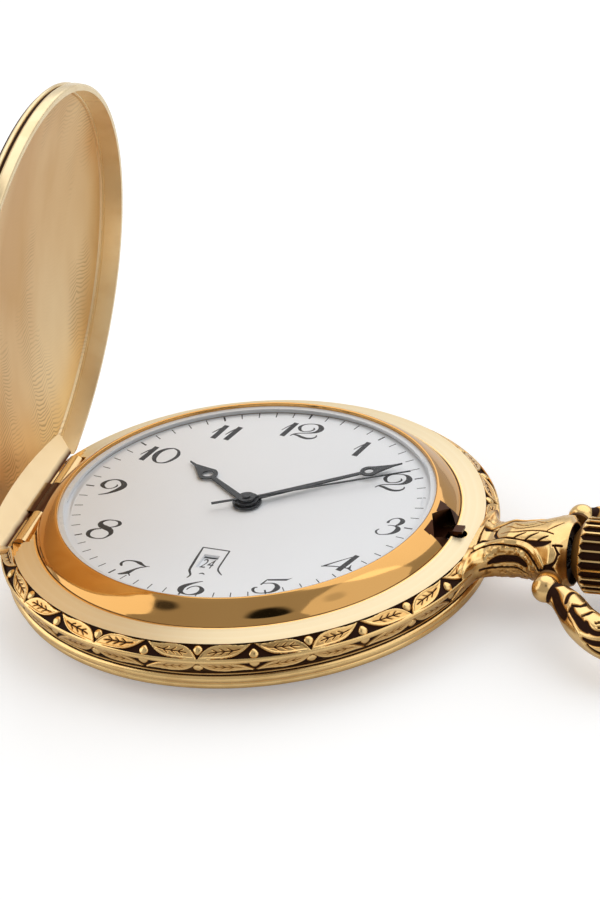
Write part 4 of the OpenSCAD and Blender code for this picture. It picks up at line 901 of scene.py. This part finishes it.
def bow():
    # distance from the studs, sideways, and the ring's own radius
    half = [(0, 6.5, 1.1), (1.5, 7.1, 1.2), (2.8, 8.2, 1.45), (4.8, 10.5, 1.7), (7.6, 12, 1.85),
            (10.7, 11.6, 1.8), (13.6, 9.2, 1.75), (15.7, 4.6, 1.85), (BOW_REACH, 0, 2)]
    route = half + [(x, -y, w) for x, y, w in half[-2::-1]]
    path = spline(route, 420)
    step = np.gradient(path[:, :2], axis=0)
    side = np.stack([step[:, 1], -step[:, 0]], -1) / np.hypot(*step.T)[:, None]
    cols = 240
    w = np.linspace(0, 2 * math.pi, cols, endpoint=False)
    run = np.cumsum(np.hypot(*step.T))
    from_end = np.minimum(run, run[-1] - run)[:, None]
    round_mm = math.radians(1.5)
    period = 360 * round_mm
    across = np.degrees(w)[None, :] * round_mm
    # the scroll repeats round the ring, every second time turned over
    sunk = trace(placed(BOW_SUNK, round_mm), from_end, across, period)
    for k in range(5):
        scroll = placed(BOW_SCROLL, round_mm, k * SCROLL_PITCH, 200 if k % 2 else None)
        sunk = np.maximum(sunk, trace(scroll, from_end, across, period))
    line = trace(placed(BOW_LINE, round_mm), from_end, across, period)
    sunk = sunk * (1 - line)
    # the underside stays plain
    sunk = sunk * (1 - smooth(0.86, 0.96, np.cos(w - math.radians(280)))[None, :])
    r = path[:, 2:] * (1 - 0.1 * sunk + 0.03 * line)
    pts = np.stack([path[:, :1] + side[:, :1] * r * np.cos(w), path[:, 1:2] + side[:, 1:] * r * np.cos(w),
                    r * np.sin(w)], -1)
    obj = grid_piece("bow_ring", bow_place(pts)[:, ::-1], 60, caps=True, patina_and_shade=sunk[:, ::-1])
    add(obj, "bow", RELIEF, "gold", "bow")
    for s, side_name in ((1, "far"), (-1, "near")):
        line = [(2.45, 0.38), (5.1, 0.42), (5.1, 1.2), (5.45, 1.2)]
        line += [(6.5 + 1.3 * math.sin(t), 1.3 * math.cos(t)) for t in np.radians(np.linspace(-48, 89, 24))]
        q = np.array(line)
        a = np.linspace(0, 2 * math.pi, 64, endpoint=False)[::s]
        ball = np.stack([q[:, 1:] * np.cos(a), np.repeat(s * q[:, :1], 64, 1), q[:, 1:] * np.sin(a)], -1)
        # the neck and collar behind the ball are darker
        dark = np.repeat(np.where(q[:, :1] < 5.5, 0.62, 0.0), 64, 1)
        end = grid_piece("bow_ball_" + side_name, bow_place(ball)[:, ::-1], 40, caps=True, patina_and_shade=dark)
        add(end, "bow", RELIEF, "gold")


# Pendant: strokes of (distance from the case's axis, degrees from its top to its near side, half width)
PENDANT_BORDER = [
    [(23.15, 56, 0.17), (23.94, 44, 0.17), (25.14, 41, 0.17), (26.2, 43, 0.17), (27.22, 45, 0.17),
     (28.33, 52, 0.17), (29.08, 62, 0.16), (29.62, 72, 0.14), (30.06, 80, 0.1)],
]
PENDANT_SIDE = [
    [(23.0, 60, 0.06), (23.55, 36, 0.16), (24.25, 38, 0.1), (25.05, 35, 0.1), (26.56, 38, 0.12),
     (27.62, 43, 0.14), (28.69, 46, 0.18), (29.75, 46, 0.14), (30.55, 43, 0.05)],
    [(22.93, 66, 0.03), (24.16, 52, 0.05), (25.32, 50, 0.05), (26.29, 51, 0.05), (27.49, 54, 0.06),
     (28.38, 65, 0.06), (28.95, 77, 0.07), (29.53, 89, 0.09)],
    [(24.69, 83, 0.1), (25.45, 79, 0.22), (26.34, 79, 0.25), (27.22, 81, 0.25), (28.02, 91, 0.16)],
    [(23.94, 90, 0.05), (24.74, 93, 0.06), (25.89, 98, 0.06), (27.22, 102, 0.07), (28.2, 111, 0.06)],
    [(30.86, 49, 0.04), (31.66, 48, 0.06)],
    [(31.12, 51, 0.04), (31.57, 61, 0.05)],
    [(31.48, 62, 0.04), (31.35, 70, 0.06), (31.04, 75, 0.07), (30.55, 77, 0.06), (29.93, 83, 0.06)],
    [(29.84, 88, 0.1), (30.59, 80, 0.14), (31.12, 82, 0.14), (31.39, 86, 0.08)],
]
PENDANT_TOP = [
    [(22.95, -60, 0.05), (22.95, -16, 0.06), (23.15, 50, 0.07)],
    [(23.06, -44, 0.04), (23.77, -32, 0.06), (24.52, -18, 0.05)],
    [(24.74, -33, 0.04), (24.52, -18, 0.07), (24.6, 11, 0.09), (25.09, 36, 0.09)],
    [(25.23, 14, 0.03), (26.51, 17, 0.045), (27.8, 14, 0.055), (29.35, 17, 0.05), (30.59, 26, 0.03)],
    [(26.56, 38, 0.03), (27.05, 28, 0.05), (27.75, 20, 0.03)],
    [(27.89, 40, 0.04), (28.33, 30, 0.06), (29.0, 22, 0.03)],
    [(29.22, 41, 0.05), (29.66, 35, 0.06), (30.15, 31, 0.03)],
    [(29.84, 17, 0.03), (30.46, 3, 0.05), (31.08, -9, 0.04)],
    [(25.4, -17, 0.03), (26.73, 2, 0.045), (28.11, 0, 0.045), (29.31, -8, 0.03)],
    [(26.2, -22, 0.03), (27.3, -8, 0.045), (28.4, -12, 0.03)],
    [(28.2, -26, 0.03), (29.2, -14, 0.045), (30.2, -20, 0.03)],
]


def pendant():
    # half width is a fillet up to the waist and a cup beyond; power is how square the section is
    x = np.concatenate([np.linspace(22.4, 25, 70), np.linspace(25.05, 32.1, 200)])
    fillet = 6.0 - 3.4 * np.sqrt(np.clip(1 - ((x - 27.1) / 3.97) ** 2, 0, None))
    cup = np.interp(x, [27.1, 28, 29, 30, 30.7, 31.4, 31.75, 32.1],
                    [2.6, 2.78, 3.2, 3.9, 4.5, 4.5, 3.6, 3.05])
    wide = np.where(x < 27.1, fillet, cup)
    tall = np.interp(x, [22.4, 24, 25, 26, 28, 30, 31.5, 32.1], [1.35, 1.5, 1.9, 2.3, 2.55, 2.9, 3.04, 3.04])
    mid = np.interp(x, [22.4, 24, 26, 28], [5.05, 5.1, 5.3, AXIS_Z])
    power = np.interp(x, [22.4, 24.5, 27, 30, 31.5, 32.1], [4.0, 3.5, 2.6, 2.3, 2.1, 2.0])
    wide, tall, mid, power = [eased(x, v)[:, None] for v in (wide, tall, mid, power)]
    cols = 400
    w = np.linspace(0, 2 * math.pi, cols, endpoint=False)
    r = ((np.abs(np.cos(w)) / wide) ** power + (np.abs(np.sin(w)) / tall) ** power) ** (-1 / power)
    # relief: places are measured along the pendant and round it from its top
    round_mm = math.radians(2.8)
    turn = ((np.degrees(w) + 90) % 360 - 180)[None, :]
    along, across = x[:, None], turn * round_mm
    border = trace(placed(PENDANT_BORDER, round_mm), along, np.abs(across))
    sunk = np.maximum(trace(placed(PENDANT_SIDE, round_mm), along, np.abs(across)),
                      trace(placed(PENDANT_TOP, round_mm), along, across))
    sunk = sunk * (1 - border)
    strip = smooth(50, 54, np.abs(turn)) * (1 - smooth(29, 29.8, along)) * (1 - border)
    rough = grain(along, across, 0.26)
    r = r + 0.15 * border - 0.15 * sunk - 0.12 * strip * rough
    # painted shade: the pendant's underside is darker
    painted_under_shade = 0.28 * smooth(88, 100, np.abs(turn))
    patina_and_shade = np.maximum(np.maximum(sunk, 0.6 * rough ** 2 * strip), painted_under_shade)
    # bowl for the crown's cone
    bowl = np.array([[32.1, 2.84], [31.55, 2.84], [31.55, 1.5], [30.9, 1.5], [30.9, 0.9]])
    x = np.concatenate([along, bowl[:, :1]])
    mid = np.concatenate([mid, np.full((len(bowl), 1), AXIS_Z)])
    r = np.concatenate([r, np.repeat(bowl[:, 1:], cols, 1)])
    patina_and_shade = np.concatenate([patina_and_shade, np.full((len(bowl), cols), 0.9)])
    pts = np.stack([np.repeat(x, cols, 1), r * np.cos(w), mid + r * np.sin(w)], -1)
    obj = grid_piece("pendant_cast", pts, 45, caps=True, patina_and_shade=patina_and_shade)
    add(obj, "case", RELIEF, "gold", "pendant")


# Studio: a pale floor, a room that is lighter toward its window, and three lamps
TO_WINDOW = (-0.305, 0.814, 0.494)
# Dark places of the room that the bezel mirrors: azimuth, height and reach in degrees, and how bright
DARK_PLACES = [(-62, 56, 9, 0.03), (-141, 56, 5, 0.15), (-14, 54, 4, 0.35)]
LAMPS = [("key", (0.1, 0.45, 0.6), 1.2, 3.1), ("side", (-0.6, -0.1, 0.35), 0.8, 1.6),
         ("fill", (0.6, -0.1, 0.4), 0.8, 0.9)]


def direction(az, el):
    """A direction from degrees round and up."""
    a, e = math.radians(az), math.radians(el)
    return math.cos(a) * math.cos(e), math.sin(a) * math.cos(e), math.sin(e)


def studio():
    wide = 3000
    floor = mesh_piece("floor", [(-wide, -wide, 0), (wide, -wide, 0), (wide, wide, 0), (-wide, wide, 0)],
                       [(0, 1, 2, 3)])
    p = Paint("floor_white")
    p.set(Roughness=0.9, Base_Color=(0.8, 0.8, 0.8, 1))
    seen = p.node("ShaderNodeLightPath").outputs["Is Camera Ray"]
    glow = p.node("ShaderNodeEmission", (1, 1, 1, 1), p.math("MULTIPLY", seen, 0.3))
    p.show("ShaderNodeAddShader", p.bsdf.outputs[0], glow.outputs[0])
    floor.data.materials.append(p.mat)

    world = bpy.data.worlds.new("studio")
    bpy.context.scene.world = world
    w = Nodes(world, "ShaderNodeOutputWorld")
    way = w.node("ShaderNodeTexCoord").outputs["Generated"]
    strength = w.spread(w.toward(way, *TO_WINDOW), 0.3, 0.95, 0.57, 0.8)
    for az, el, reach, left in DARK_PLACES:
        outer, inner = [math.cos(math.radians(reach + soft)) for soft in (1.5, -1.5)]
        light = w.spread(w.toward(way, *direction(az, el)), outer, inner, 1.0, left)
        strength = w.math("MULTIPLY", strength, light)
    room = w.node("ShaderNodeBackground")
    w.plug(room.inputs["Strength"], strength)
    white = w.node("ShaderNodeBackground", (1, 1, 1, 1))
    seen = w.node("ShaderNodeLightPath").outputs["Is Camera Ray"]
    w.show("ShaderNodeMixShader", seen, room.outputs[0], white.outputs[0])

    for name, place, size, power in LAMPS:
        data = bpy.data.lights.new(name, "AREA")
        data.shape = "DISK"
        data.size = size
        data.energy = power
        obj = shown(name, data)
        obj.location = place
        obj.rotation_euler = (-Vector(place)).to_track_quat("-Z", "Y").to_euler()


def camera():
    level = math.cos(CAM_EL)
    back = Vector((math.sin(CAM_AZ) * level, -math.cos(CAM_AZ) * level, math.sin(CAM_EL)))
    right = (-back).cross(Vector((0, 0, 1))).normalized()
    up = right.cross(-back)
    c, s = math.cos(CAM_ROLL), math.sin(CAM_ROLL)
    turn = Matrix((right * c + up * s, up * c - right * s, back)).transposed().to_4x4()
    data = bpy.data.cameras.new("camera")
    data.sensor_width = SENSOR
    data.lens = FOCAL_PIXELS / PHOTO_TALL * SENSOR
    data.clip_start = 0.01
    obj = shown("camera", data)
    obj.matrix_world = Matrix.Translation((Vector(CAM_TARGET) + back * CAM_DIST) * MM) @ turn
    bpy.context.scene.camera = obj


dress_nodes()
case_band()
front_bezel()
dial_print()
date_numbers()
crystal()
crystal_seal()
lid()
crown()
bow()
pendant()
studio()
camera()
bpy.context.scene.view_settings.view_transform = "Standard"
